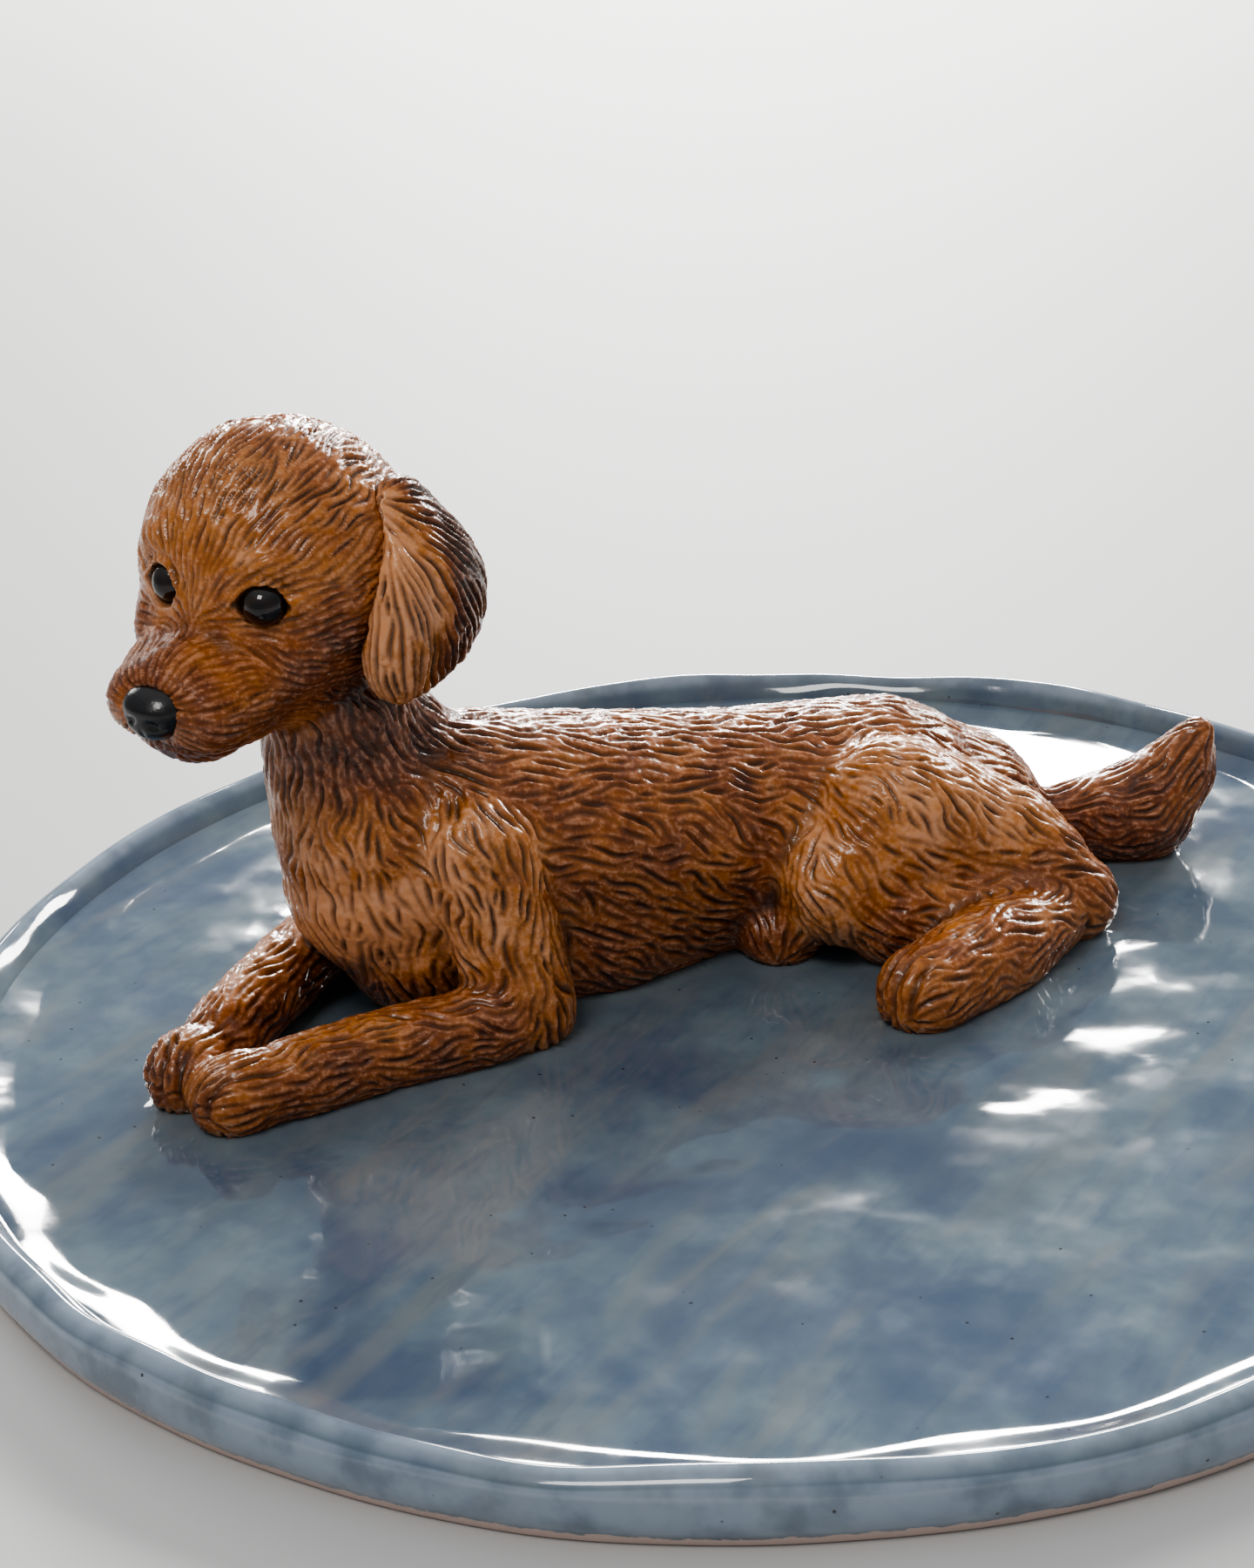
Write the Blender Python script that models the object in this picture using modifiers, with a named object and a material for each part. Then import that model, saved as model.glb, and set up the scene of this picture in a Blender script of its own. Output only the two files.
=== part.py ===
"""Ceramic dog figurine: a hand-built dog lying on its round glazed dish, in lumps of clay luted together.

Metres, +Z up. The origin is the middle of the dish where it stands. The dog's body points along -Y, and
its left side faces +X.
"""

import math

import bmesh
import bpy
from mathutils import Matrix, Vector

# The dish.
DISH_RADIUS = 0.0900
DISH_HEIGHT = 0.0070
RIM_WIDTH = 0.0048
FLOOR_THICKNESS = 0.0034
FOOT_CHAMFER = 0.0012
CREST_ROUNDING = 0.0021
WALL_LEAN = 0.0007
OVAL_WAVE = 0.00045
OVAL_WAVE_START = 0.6
PINCH_WAVE = 0.00018
PINCHES = 18
PINCH_SWELLS = 4
PINCH_SWELL_START = 0.3

# Luted pieces lie this far apart, and a piece stands this far off the dish's floor.
GAP = 0.0003
FLOOR = FLOOR_THICKNESS + GAP

# The torso, from chest to rump. SHOULDER_X and HIP_X are the spine's place from side to side.
SHOULDER_X = -0.0175
HIP_X = -0.0200
CHEST = Vector((SHOULDER_X + 0.0010, -0.0366, 0.0197))
CHEST_RADIUS = 0.0111
WITHERS = Vector((SHOULDER_X, -0.0275, 0.0218))
WITHERS_RADIUS = 0.0137
RIBS = Vector((SHOULDER_X - 0.0015, -0.0101, 0.0178))
RIBS_RADIUS = 0.0136
LOIN = Vector((HIP_X, 0.0060, 0.0158))
LOIN_RADIUS = 0.0126
HIPS = Vector((HIP_X, 0.0227, 0.0130))
HIPS_RADIUS = 0.0138
RUMP = Vector((HIP_X, 0.0321, 0.0105))
RUMP_RADIUS = 0.0110
BRISKET = Vector((SHOULDER_X + 0.0020, -0.0335, 0.0125))
BRISKET_RADIUS = 0.0092
BELLY = Vector((SHOULDER_X + 0.0005, -0.0135, 0.0110))
BELLY_RADIUS = 0.0114
FLANK = Vector((HIP_X + 0.0005, 0.0035, 0.0104))
FLANK_RADIUS = 0.0090
SEAT = Vector((HIP_X - 0.0010, 0.0220, 0.0090))
SEAT_RADIUS = 0.0110

# The neck, between the withers and the skull.
THROAT = Vector((SHOULDER_X, -0.0399, 0.0403))
THROAT_RADIUS = 0.0080
NECK_MIDDLE = Vector((SHOULDER_X + 0.0005, -0.0395, 0.0325))
NECK_MIDDLE_RADIUS = 0.0087
NECK_ROOT = Vector((SHOULDER_X + 0.0015, -0.0380, 0.0246))
NECK_ROOT_RADIUS = 0.0101
NAPE = Vector((SHOULDER_X - 0.0005, -0.0335, 0.0330))
NAPE_RADIUS = 0.0066

# The head has its own frame at the middle of the skull: -Y is forwards and +X is the dog's left.
SKULL = Vector((-0.0170, -0.0441, 0.0566))
SKULL_RADIUS = 0.0146
HEAD_TURN = math.radians(40)
HEAD_TILT = math.radians(5)
CHEEK_DROP = 0.0058
CHEEK_FORWARD = 0.0040
CHEEK_RADIUS = 0.0108
EYE_RADIUS = 0.0024
EYE_SPACING = 0.0110
EYE_SHIFT = 0.0009
EYE_SINK = 0.0017
EYE_RISE = 0.0005
MUZZLE_DROP = 0.0092
MUZZLE_ROOT_FORWARD = SKULL_RADIUS - 0.0044
MUZZLE_ROOT_RADIUS = 0.0074
MUZZLE_TIP_FORWARD = SKULL_RADIUS + 0.0028
MUZZLE_TIP_HALF_WIDTH = 0.0077
MUZZLE_TIP_HALF_HEIGHT = 0.0051
MUZZLE_TIP_HALF_DEPTH = 0.0057
CHIN_DROP = MUZZLE_DROP + 0.0038
CHIN_FORWARD = SKULL_RADIUS - 0.0004
CHIN_HALF_WIDTH = 0.0052
CHIN_HALF_HEIGHT = 0.0034
CHIN_HALF_DEPTH = 0.0062
NOSE_DROP = MUZZLE_DROP - 0.0001
NOSE_FORWARD = MUZZLE_TIP_FORWARD + 0.0040
NOSE_HALF_WIDTH = 0.0031
NOSE_HALF_HEIGHT = 0.0026
NOSE_HALF_DEPTH = 0.0023
EAR_TOP_SIDE = SKULL_RADIUS - 0.0030
EAR_TOP_RISE = 0.0050
EAR_TOP_BACK = 0.0034
EAR_TOP_RADIUS = 0.0052
EAR_SIDE = SKULL_RADIUS + 0.0004
EAR_BACK = 0.0038
EAR_DROP = 0.0028
EAR_MIDDLE_RADIUS = 0.0083
EAR_TIP_SIDE = SKULL_RADIUS + 0.0002
EAR_TIP_BACK = 0.0006
EAR_TIP_DROP = 0.0067
EAR_TIP_RADIUS = 0.0057
EAR_THINNESS = 0.56
RIGHT_EAR_SET_BACK = 0.0040

# The forelegs. The left one shows in full, and the right one comes out from under the chest.
LEFT_SIDE = SHOULDER_X + WITHERS_RADIUS
RIGHT_SIDE = SHOULDER_X - WITHERS_RADIUS
LEFT_SHOULDER = Vector((LEFT_SIDE - 0.0042, -0.0287, 0.0237))
RIGHT_SHOULDER = Vector((RIGHT_SIDE + 0.0042, -0.0300, 0.0225))
SHOULDER_RADIUS = 0.0069
LEFT_ARM_MIDDLE = Vector((LEFT_SIDE - 0.0012, -0.0267, 0.0130))
RIGHT_ARM_MIDDLE = Vector((RIGHT_SIDE + 0.0027, -0.0325, 0.0140))
ARM_MIDDLE_RADIUS = 0.0058
LEFT_ELBOW = Vector((LEFT_SIDE + 0.0008, -0.0256, 0.0068))
RIGHT_ELBOW = Vector((RIGHT_SIDE + 0.0032, -0.0375, 0.0080))
ELBOW_RADIUS = 0.0052
LEFT_FOREARM_TOP = Vector((-0.0010, -0.0300, 0.0069))
LEFT_FOREARM_MIDDLE = Vector((-0.0008, -0.0421, 0.0068))
LEFT_WRIST = Vector((0.0014, -0.0530, 0.0070))
RIGHT_FOREARM_TOP = Vector((-0.0262, -0.0425, 0.0083))
RIGHT_FOREARM_MIDDLE = Vector((-0.0185, -0.0500, 0.0080))
RIGHT_WRIST = Vector((-0.0105, -0.0572, 0.0073))
FOREARM_RADIUS = 0.0043
LEFT_FORE_PAW = Vector((0.0018, -0.0582, 0.0068))
RIGHT_FORE_PAW = Vector((-0.0060, -0.0618, 0.0066))
FORE_PAW_RADIUS = 0.0045
FORE_PAW_LENGTH = 1.25

# The hind legs. Both feet lie out to the dog's left, the right one from under the belly.
LEFT_HAUNCH = HIP_X + HIPS_RADIUS
RIGHT_HAUNCH = HIP_X - HIPS_RADIUS
LEFT_HIP = Vector((LEFT_HAUNCH - 0.0023, 0.0195, 0.0178))
LEFT_HIP_RADIUS = 0.0092
LEFT_KNEE = Vector((LEFT_HAUNCH + 0.0004, 0.0120, 0.0125))
LEFT_KNEE_RADIUS = 0.0068
LEFT_BUTTOCK = Vector((LEFT_HAUNCH - 0.0023, 0.0290, 0.0130))
LEFT_BUTTOCK_RADIUS = 0.0084
LEFT_SHANK_TOP = Vector((LEFT_HAUNCH + 0.0027, 0.0170, 0.0090))
LEFT_SHANK_TOP_RADIUS = 0.0060
LEFT_HOCK = Vector((-0.0006, 0.0382, 0.0074))
HOCK_RADIUS = 0.0051
FOOT_HEEL_RADIUS = 0.0036
LEFT_FOOT_MIDDLE = Vector((0.0064, 0.0250, 0.0066))
FOOT_MIDDLE_RADIUS = 0.0056
LEFT_HIND_PAW = Vector((0.0116, 0.0138, 0.0066))
HIND_PAW_RADIUS = 0.0051
RIGHT_HIP = Vector((RIGHT_HAUNCH + 0.0038, 0.0190, 0.0115))
RIGHT_HIP_RADIUS = 0.0090
RIGHT_KNEE = Vector((RIGHT_HAUNCH + 0.0018, 0.0085, 0.0085))
RIGHT_KNEE_RADIUS = 0.0062
RIGHT_HIND_PAW = Vector((-0.0092, 0.0060, 0.0066))
RIGHT_HIND_PAW_RADIUS = 0.0046
RIGHT_HIND_ANKLE = Vector((-0.0150, 0.0085, 0.0072))

# The tail: a thick brush that lies on the dish and turns up at its tip.
TAIL_ROOT = Vector((-0.0175, 0.0425, 0.0092))
TAIL_ROOT_RADIUS = 0.0034
TAIL_BRUSH = Vector((-0.0160, 0.0548, 0.0084))
TAIL_BRUSH_RADIUS = 0.0061
TAIL_BEND = Vector((-0.0160, 0.0602, 0.0128))
TAIL_BEND_RADIUS = 0.0043
TAIL_TIP = Vector((-0.0165, 0.0628, 0.0172))
TAIL_TIP_RADIUS = 0.0020

# How finely the lumps are meshed.
LUMP_VOXEL = 0.0010
SMALL_VOXEL = 0.0007
SMOOTHING = 6
KEPT_FACES = 0.10
EAR_KEPT_FACES = 0.05
TURNS = 90
SEAM_WELD = 1e-6
BALL_SEGMENTS = 16
BALL_RINGS = 10

CLAY = (0.300, 0.105, 0.028, 1)
PALE_CLAY = (0.400, 0.170, 0.050, 1)
BLACK_GLAZE = (0.010, 0.009, 0.010, 1)
BLUE_GLAZE = (0.130, 0.185, 0.270, 1)


def clear_scene():
    for obj in list(bpy.data.objects):
        bpy.data.objects.remove(obj)


def new_collection(name):
    collection = bpy.data.collections.new(name)
    bpy.context.scene.collection.children.link(collection)
    return collection


def material(name, colour, roughness):
    made = bpy.data.materials.new(name)
    made.use_nodes = True
    shader = made.node_tree.nodes["Principled BSDF"]
    shader.inputs["Base Color"].default_value = colour
    shader.inputs["Roughness"].default_value = roughness
    shader.inputs["Metallic"].default_value = 0
    return made


def new_piece(name, bm, colour, roughness=0.3):
    """A named object in the figurine's collection, from a bmesh, with its own material."""
    mesh = bpy.data.meshes.new(name)
    bmesh.ops.recalc_face_normals(bm, faces=bm.faces)
    bm.to_mesh(mesh)
    bm.free()
    piece = bpy.data.objects.new(name, mesh)
    piece.data.materials.append(material(name, colour, roughness))
    FIGURINE.objects.link(piece)
    return piece


def add_ball(bm, centre, radius, stretch=(1, 1, 1), frame=Matrix.Identity(4)):
    """A ball, or an ellipsoid with the stretch given along the frame's axes."""
    place = frame @ Matrix.Translation(centre) @ Matrix.Diagonal((*stretch, 1))
    bmesh.ops.create_uvsphere(
        bm,
        u_segments=BALL_SEGMENTS,
        v_segments=BALL_RINGS,
        radius=radius,
        matrix=place,
    )


def add_taper(bm, start, start_radius, end, end_radius):
    """The cone that joins two balls of a limb."""
    along = end - start
    place = Matrix.Translation((start + end) / 2) @ along.to_track_quat("Z", "Y").to_matrix().to_4x4()
    bmesh.ops.create_cone(
        bm,
        cap_ends=True,
        segments=BALL_SEGMENTS,
        radius1=start_radius,
        radius2=end_radius,
        depth=along.length,
        matrix=place,
    )


def add_limb(bm, joints):
    """Balls of the radii given, in a row, with a cone from each to the next."""
    for centre, radius in joints:
        add_ball(bm, centre, radius)
    for (start, start_radius), (end, end_radius) in zip(joints, joints[1:]):
        add_taper(bm, start, start_radius, end, end_radius)


def model_lump(piece, voxel=LUMP_VOXEL, kept=KEPT_FACES):
    """Works the overlapping balls and cones of a piece into one soft lump of clay."""
    merge = piece.modifiers.new("one_lump", "REMESH")
    merge.mode = "VOXEL"
    merge.voxel_size = voxel
    merge.adaptivity = 0
    smooth = piece.modifiers.new("smoothed", "SMOOTH")
    smooth.factor = 0.5
    smooth.iterations = SMOOTHING
    thin = piece.modifiers.new("fewer_faces", "DECIMATE")
    thin.ratio = kept
    return piece


def cut(piece, cutter):
    boolean = piece.modifiers.new("room_for_" + cutter.name, "BOOLEAN")
    boolean.operation = "DIFFERENCE"
    boolean.solver = "EXACT"
    boolean.object = cutter


def as_cutter(shape):
    CUTTERS.objects.link(shape)
    shape.hide_render = True
    shape.display_type = "WIRE"
    return shape


def grown_copy(piece):
    """A copy of a finished piece, larger by the gap all round."""
    grown = piece.copy()
    grown.name = "around_" + piece.name
    offset = grown.modifiers.new("gap", "DISPLACE")
    offset.mid_level = 0
    offset.strength = GAP
    return as_cutter(grown)


def make_room(piece, *neighbours):
    """Cuts each neighbour's shape out of a piece, with the gap between them."""
    for neighbour in neighbours:
        cutter = bpy.data.objects.get("around_" + neighbour.name) or grown_copy(neighbour)
        cut(piece, cutter)


def floor_cutter():
    """A block whose top is the height at which the dog's pieces stand."""
    bm = bmesh.new()
    block = Matrix.Translation((0, 0, FLOOR - DISH_RADIUS)) @ Matrix.Scale(2 * DISH_RADIUS, 4)
    bmesh.ops.create_cube(bm, size=1, matrix=block)
    mesh = bpy.data.meshes.new("below_floor")
    bm.to_mesh(mesh)
    bm.free()
    return as_cutter(bpy.data.objects.new("below_floor", mesh))


def stand_on_dish(*pieces):
    for piece in pieces:
        cut(piece, BELOW_FLOOR)


def edge_wave(angle):
    """How far the hand-pinched outline is from a true circle. Each wave repeats over half a turn."""
    oval = OVAL_WAVE * math.cos(2 * angle + OVAL_WAVE_START)
    swell = math.cos(PINCH_SWELLS * angle + PINCH_SWELL_START)
    pinch = PINCH_WAVE * math.cos(PINCHES * angle) * swell
    return oval + pinch


def turned(name, outline, colour, roughness):
    """A turned solid from half its outline, as (radius, height), then pinched to the wavy circle."""
    bm = bmesh.new()
    points = [bm.verts.new((radius, 0, height)) for radius, height in outline]
    edges = [bm.edges.new(pair) for pair in zip(points, points[1:])]
    is_ring = outline[0][0] > 0
    if is_ring:
        edges.append(bm.edges.new((points[-1], points[0])))
    bmesh.ops.spin(
        bm,
        geom=points + edges,
        cent=(0, 0, 0),
        axis=(0, 0, 1),
        angle=math.tau,
        steps=TURNS,
        use_merge=True,
    )
    bmesh.ops.remove_doubles(bm, verts=bm.verts, dist=SEAM_WELD)
    for vert in bm.verts:
        radius = math.hypot(vert.co.x, vert.co.y)
        wave = edge_wave(math.atan2(vert.co.y, vert.co.x)) * radius / DISH_RADIUS
        if radius > 0:
            vert.co.xy *= 1 + wave / radius
    return new_piece(name, bm, colour, roughness)


def arc(centre, radius, start, end, steps):
    """Points along an arc, as (radius from the axis, height)."""
    turns = [math.radians(start + (end - start) * i / steps) for i in range(steps + 1)]
    return [(centre[0] + radius * math.cos(t), centre[1] + radius * math.sin(t)) for t in turns]


def build_dish():
    inner = DISH_RADIUS - RIM_WIDTH
    crest = (DISH_RADIUS - CREST_ROUNDING - WALL_LEAN, DISH_HEIGHT - CREST_ROUNDING)
    inner_crest = (inner + CREST_ROUNDING, DISH_HEIGHT - CREST_ROUNDING)
    rim = [(inner, 0), (DISH_RADIUS - FOOT_CHAMFER - WALL_LEAN, 0)]
    rim += [(DISH_RADIUS - WALL_LEAN / 2, FOOT_CHAMFER), (DISH_RADIUS, DISH_HEIGHT / 2)]
    rim += arc(crest, CREST_ROUNDING, 10, 90, 4)
    rim += arc(inner_crest, CREST_ROUNDING, 90, 180, 4)[1:]
    turned("dish_rim", rim, BLUE_GLAZE, 0.12)
    edge = inner - GAP
    slab = [(0, 0), (edge / 2, 0), (edge, 0), (edge, FLOOR_THICKNESS), (edge / 2, FLOOR_THICKNESS)]
    slab += [(0, FLOOR_THICKNESS)]
    turned("dish_slab", slab, BLUE_GLAZE, 0.12)


def build_torso():
    bm = bmesh.new()
    joints = [(CHEST, CHEST_RADIUS), (WITHERS, WITHERS_RADIUS), (RIBS, RIBS_RADIUS)]
    joints += [(LOIN, LOIN_RADIUS), (HIPS, HIPS_RADIUS), (RUMP, RUMP_RADIUS)]
    add_limb(bm, joints)
    underside = [(BRISKET, BRISKET_RADIUS), (BELLY, BELLY_RADIUS)]
    underside += [(FLANK, FLANK_RADIUS), (SEAT, SEAT_RADIUS)]
    add_limb(bm, underside)
    torso = model_lump(new_piece("torso", bm, CLAY))
    stand_on_dish(torso)
    return torso


def head_frame():
    turn = Matrix.Rotation(HEAD_TURN, 4, "Z") @ Matrix.Rotation(HEAD_TILT, 4, "Y")
    return Matrix.Translation(SKULL) @ turn


def build_eye(side, sign):
    bm = bmesh.new()
    forward = math.sqrt((SKULL_RADIUS - EYE_SINK) ** 2 - (EYE_SPACING / 2) ** 2)
    place = Vector((EYE_SHIFT + sign * EYE_SPACING / 2, -forward, EYE_RISE))
    add_ball(bm, place, EYE_RADIUS, frame=head_frame())
    return new_piece("eye_" + side, bm, BLACK_GLAZE, 0.05)


def build_skull(eyes):
    bm = bmesh.new()
    frame = head_frame()
    add_ball(bm, Vector((0, 0, 0)), SKULL_RADIUS, frame=frame)
    add_ball(bm, Vector((0, -CHEEK_FORWARD, -CHEEK_DROP)), CHEEK_RADIUS, frame=frame)
    skull = model_lump(new_piece("head", bm, CLAY))
    make_room(skull, *eyes)
    return skull


def build_muzzle(skull):
    bm = bmesh.new()
    frame = head_frame()
    tip = Vector((0, -MUZZLE_TIP_FORWARD, -MUZZLE_DROP))
    root = Vector((0, -MUZZLE_ROOT_FORWARD, -MUZZLE_DROP))
    add_ball(bm, tip, 1, (MUZZLE_TIP_HALF_WIDTH, MUZZLE_TIP_HALF_DEPTH, MUZZLE_TIP_HALF_HEIGHT), frame)
    add_ball(bm, root, MUZZLE_ROOT_RADIUS, frame=frame)
    add_taper(bm, frame @ root, MUZZLE_ROOT_RADIUS, frame @ tip, MUZZLE_TIP_HALF_HEIGHT)
    muzzle = model_lump(new_piece("muzzle", bm, PALE_CLAY))
    make_room(muzzle, skull)
    return muzzle


def build_nose():
    bm = bmesh.new()
    place = Vector((0, -NOSE_FORWARD, -NOSE_DROP))
    add_ball(bm, place, 1, (NOSE_HALF_WIDTH, NOSE_HALF_DEPTH, NOSE_HALF_HEIGHT), head_frame())
    return new_piece("nose", bm, BLACK_GLAZE, 0.08)


def build_chin(skull, muzzle):
    bm = bmesh.new()
    place = Vector((0, -CHIN_FORWARD, -CHIN_DROP))
    add_ball(bm, place, 1, (CHIN_HALF_WIDTH, CHIN_HALF_DEPTH, CHIN_HALF_HEIGHT), head_frame())
    chin = model_lump(new_piece("chin", bm, CLAY), SMALL_VOXEL)
    make_room(chin, skull, muzzle)
    return chin


def build_ear(side, sign, set_back, skull):
    """A flat lobe that hangs beside the skull."""
    bm = bmesh.new()
    frame = head_frame() @ Matrix.Translation((0, set_back, 0))
    top = (EAR_TOP_SIDE, EAR_TOP_BACK, EAR_TOP_RISE, EAR_TOP_RADIUS)
    middle = (EAR_SIDE, EAR_BACK, -EAR_DROP, EAR_MIDDLE_RADIUS)
    tip = (EAR_TIP_SIDE, EAR_TIP_BACK, -EAR_TIP_DROP, EAR_TIP_RADIUS)
    flat = (EAR_THINNESS, 1, 1)
    for out, back, rise, radius in (top, middle, tip):
        add_ball(bm, Vector((sign * out, back, rise)), radius, flat, frame)
    for a, b in ((top, middle), (middle, tip)):
        between = (Vector(a[:3]) + Vector(b[:3])) / 2
        place = Vector((sign * between.x, between.y, between.z))
        add_ball(bm, place, (a[3] + b[3]) / 2, flat, frame)
    ear = model_lump(new_piece("ear_" + side, bm, CLAY), SMALL_VOXEL, kept=EAR_KEPT_FACES)
    make_room(ear, skull)
    return ear


def build_neck(torso, skull, ears):
    bm = bmesh.new()
    joints = [(THROAT, THROAT_RADIUS), (NECK_MIDDLE, NECK_MIDDLE_RADIUS), (NECK_ROOT, NECK_ROOT_RADIUS)]
    add_limb(bm, joints)
    add_limb(bm, [(THROAT, NAPE_RADIUS), (NAPE, NAPE_RADIUS), (WITHERS, NAPE_RADIUS)])
    neck = model_lump(new_piece("neck", bm, CLAY))
    make_room(neck, torso, skull, *ears)
    return neck


def build_foreleg(side, shoulder, arm_middle, elbow, forearm_joints, paw, torso, made=()):
    """The upper arm, forearm and paw of one side. Each makes room for the pieces before it."""
    bm = bmesh.new()
    joints = [(shoulder, SHOULDER_RADIUS), (arm_middle, ARM_MIDDLE_RADIUS), (elbow, ELBOW_RADIUS)]
    add_limb(bm, joints)
    arm = model_lump(new_piece("upper_arm_" + side, bm, CLAY))
    make_room(arm, torso)
    bm = bmesh.new()
    add_limb(bm, [(joint, FOREARM_RADIUS) for joint in forearm_joints])
    forearm = model_lump(new_piece("forearm_" + side, bm, CLAY))
    make_room(forearm, torso, arm, *made)
    bm = bmesh.new()
    along = paw - forearm_joints[-1]
    heading = Matrix.Translation(paw) @ Matrix.Rotation(math.atan2(along.x, -along.y), 4, "Z")
    add_ball(bm, Vector((0, 0, 0)), FORE_PAW_RADIUS, (1, FORE_PAW_LENGTH, 1), heading)
    fore_paw = model_lump(new_piece("fore_paw_" + side, bm, CLAY), SMALL_VOXEL)
    make_room(fore_paw, forearm, *made)
    stand_on_dish(arm, forearm, fore_paw)
    return arm, forearm, fore_paw


def build_left_hind_leg(torso):
    bm = bmesh.new()
    joints = [(LEFT_KNEE, LEFT_KNEE_RADIUS), (LEFT_HIP, LEFT_HIP_RADIUS)]
    add_limb(bm, joints + [(LEFT_BUTTOCK, LEFT_BUTTOCK_RADIUS)])
    thigh = model_lump(new_piece("thigh_left", bm, CLAY))
    make_room(thigh, torso)
    bm = bmesh.new()
    add_limb(bm, [(LEFT_SHANK_TOP, LEFT_SHANK_TOP_RADIUS), (LEFT_HOCK, HOCK_RADIUS)])
    shank = model_lump(new_piece("shank_left", bm, CLAY))
    make_room(shank, torso, thigh)
    bm = bmesh.new()
    joints = [(LEFT_HOCK, FOOT_HEEL_RADIUS), (LEFT_FOOT_MIDDLE, FOOT_MIDDLE_RADIUS)]
    add_limb(bm, joints + [(LEFT_HIND_PAW, HIND_PAW_RADIUS)])
    foot = model_lump(new_piece("hind_foot_left", bm, CLAY))
    make_room(foot, torso, thigh, shank)
    stand_on_dish(thigh, shank, foot)
    return thigh, shank, foot


def build_right_hind_leg(torso, left_thigh):
    bm = bmesh.new()
    add_limb(bm, [(RIGHT_KNEE, RIGHT_KNEE_RADIUS), (RIGHT_HIP, RIGHT_HIP_RADIUS)])
    thigh = model_lump(new_piece("thigh_right", bm, CLAY))
    make_room(thigh, torso)
    bm = bmesh.new()
    add_limb(bm, [(RIGHT_HIND_ANKLE, RIGHT_HIND_PAW_RADIUS), (RIGHT_HIND_PAW, RIGHT_HIND_PAW_RADIUS)])
    paw = model_lump(new_piece("hind_paw_right", bm, CLAY), SMALL_VOXEL)
    make_room(paw, torso, left_thigh)
    stand_on_dish(thigh, paw)
    return thigh, paw


def build_tail(torso):
    bm = bmesh.new()
    joints = [(TAIL_ROOT, TAIL_ROOT_RADIUS), (TAIL_BRUSH, TAIL_BRUSH_RADIUS)]
    joints += [(TAIL_BEND, TAIL_BEND_RADIUS), (TAIL_TIP, TAIL_TIP_RADIUS)]
    add_limb(bm, joints)
    tail = model_lump(new_piece("tail", bm, CLAY), SMALL_VOXEL)
    make_room(tail, torso)
    stand_on_dish(tail)
    return tail


def build_head(torso):
    eyes = [build_eye("left", 1), build_eye("right", -1)]
    skull = build_skull(eyes)
    nose = build_nose()
    muzzle = build_muzzle(skull)
    make_room(muzzle, nose)
    build_chin(skull, muzzle)
    ears = [build_ear("left", 1, 0, skull), build_ear("right", -1, RIGHT_EAR_SET_BACK, skull)]
    build_neck(torso, skull, ears)


def build_dog():
    torso = build_torso()
    build_head(torso)
    left_forearm = (LEFT_FOREARM_TOP, LEFT_FOREARM_MIDDLE, LEFT_WRIST)
    right_forearm = (RIGHT_FOREARM_TOP, RIGHT_FOREARM_MIDDLE, RIGHT_WRIST)
    left = (LEFT_SHOULDER, LEFT_ARM_MIDDLE, LEFT_ELBOW, left_forearm, LEFT_FORE_PAW)
    right = (RIGHT_SHOULDER, RIGHT_ARM_MIDDLE, RIGHT_ELBOW, right_forearm, RIGHT_FORE_PAW)
    left_leg = build_foreleg("left", *left, torso)
    build_foreleg("right", *right, torso, made=left_leg)
    left_thigh = build_left_hind_leg(torso)[0]
    build_right_hind_leg(torso, left_thigh)
    build_tail(torso)


clear_scene()
FIGURINE = new_collection("ceramic_dog_figurine")
CUTTERS = new_collection("cutters")
BELOW_FLOOR = floor_cutter()
build_dish()
build_dog()
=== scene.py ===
"""Looks of the ceramic dog figurine: the fur cut into the clay, the eyes and nose, and the glazed dish.

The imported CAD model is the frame. Every size here is in metres and every place comes from its nodes.
"""

import math
import random

import bmesh
import bpy
import numpy as np
from mathutils import Matrix, Vector, kdtree
from mathutils.bvhtree import BVHTree


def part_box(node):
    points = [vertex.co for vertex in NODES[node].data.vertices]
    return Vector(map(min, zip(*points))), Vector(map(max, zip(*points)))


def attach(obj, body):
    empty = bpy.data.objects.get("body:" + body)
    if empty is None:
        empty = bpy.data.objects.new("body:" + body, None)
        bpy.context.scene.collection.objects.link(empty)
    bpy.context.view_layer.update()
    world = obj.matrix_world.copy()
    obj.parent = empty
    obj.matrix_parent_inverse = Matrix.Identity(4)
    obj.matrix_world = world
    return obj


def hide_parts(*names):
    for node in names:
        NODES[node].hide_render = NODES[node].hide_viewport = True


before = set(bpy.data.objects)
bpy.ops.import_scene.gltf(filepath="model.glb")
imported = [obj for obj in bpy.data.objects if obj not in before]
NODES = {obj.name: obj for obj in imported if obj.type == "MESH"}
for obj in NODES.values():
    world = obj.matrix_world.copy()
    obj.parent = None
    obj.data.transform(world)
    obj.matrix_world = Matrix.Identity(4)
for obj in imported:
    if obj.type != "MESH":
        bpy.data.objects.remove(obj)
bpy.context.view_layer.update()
MM = 0.001
SEED = 11

# The sculpt: the CAD lumps swell by SKIN to close the gaps, then are worked into one form.
SKIN = 0.40 * MM
ROUGH_VOXEL = 0.50 * MM
FINE_VOXEL = 0.26 * MM
ROUGH_SMOOTHING = 20
FINE_SMOOTHING = 5
FLOW_SMOOTHING = 90
HOLLOW_SMOOTHING = 70
TONE_SMOOTHING = 120
EAR_SWELL = 0.75 * MM
EAR_SMOOTHING = 30
EAR_VOXEL = 0.25 * MM
EAR_WANDER = 0.45


def node_box(name):
    low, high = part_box(name)
    return np.array(low), np.array(high)


def node_centre(name):
    low, high = node_box(name)
    return (low + high) / 2


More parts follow.
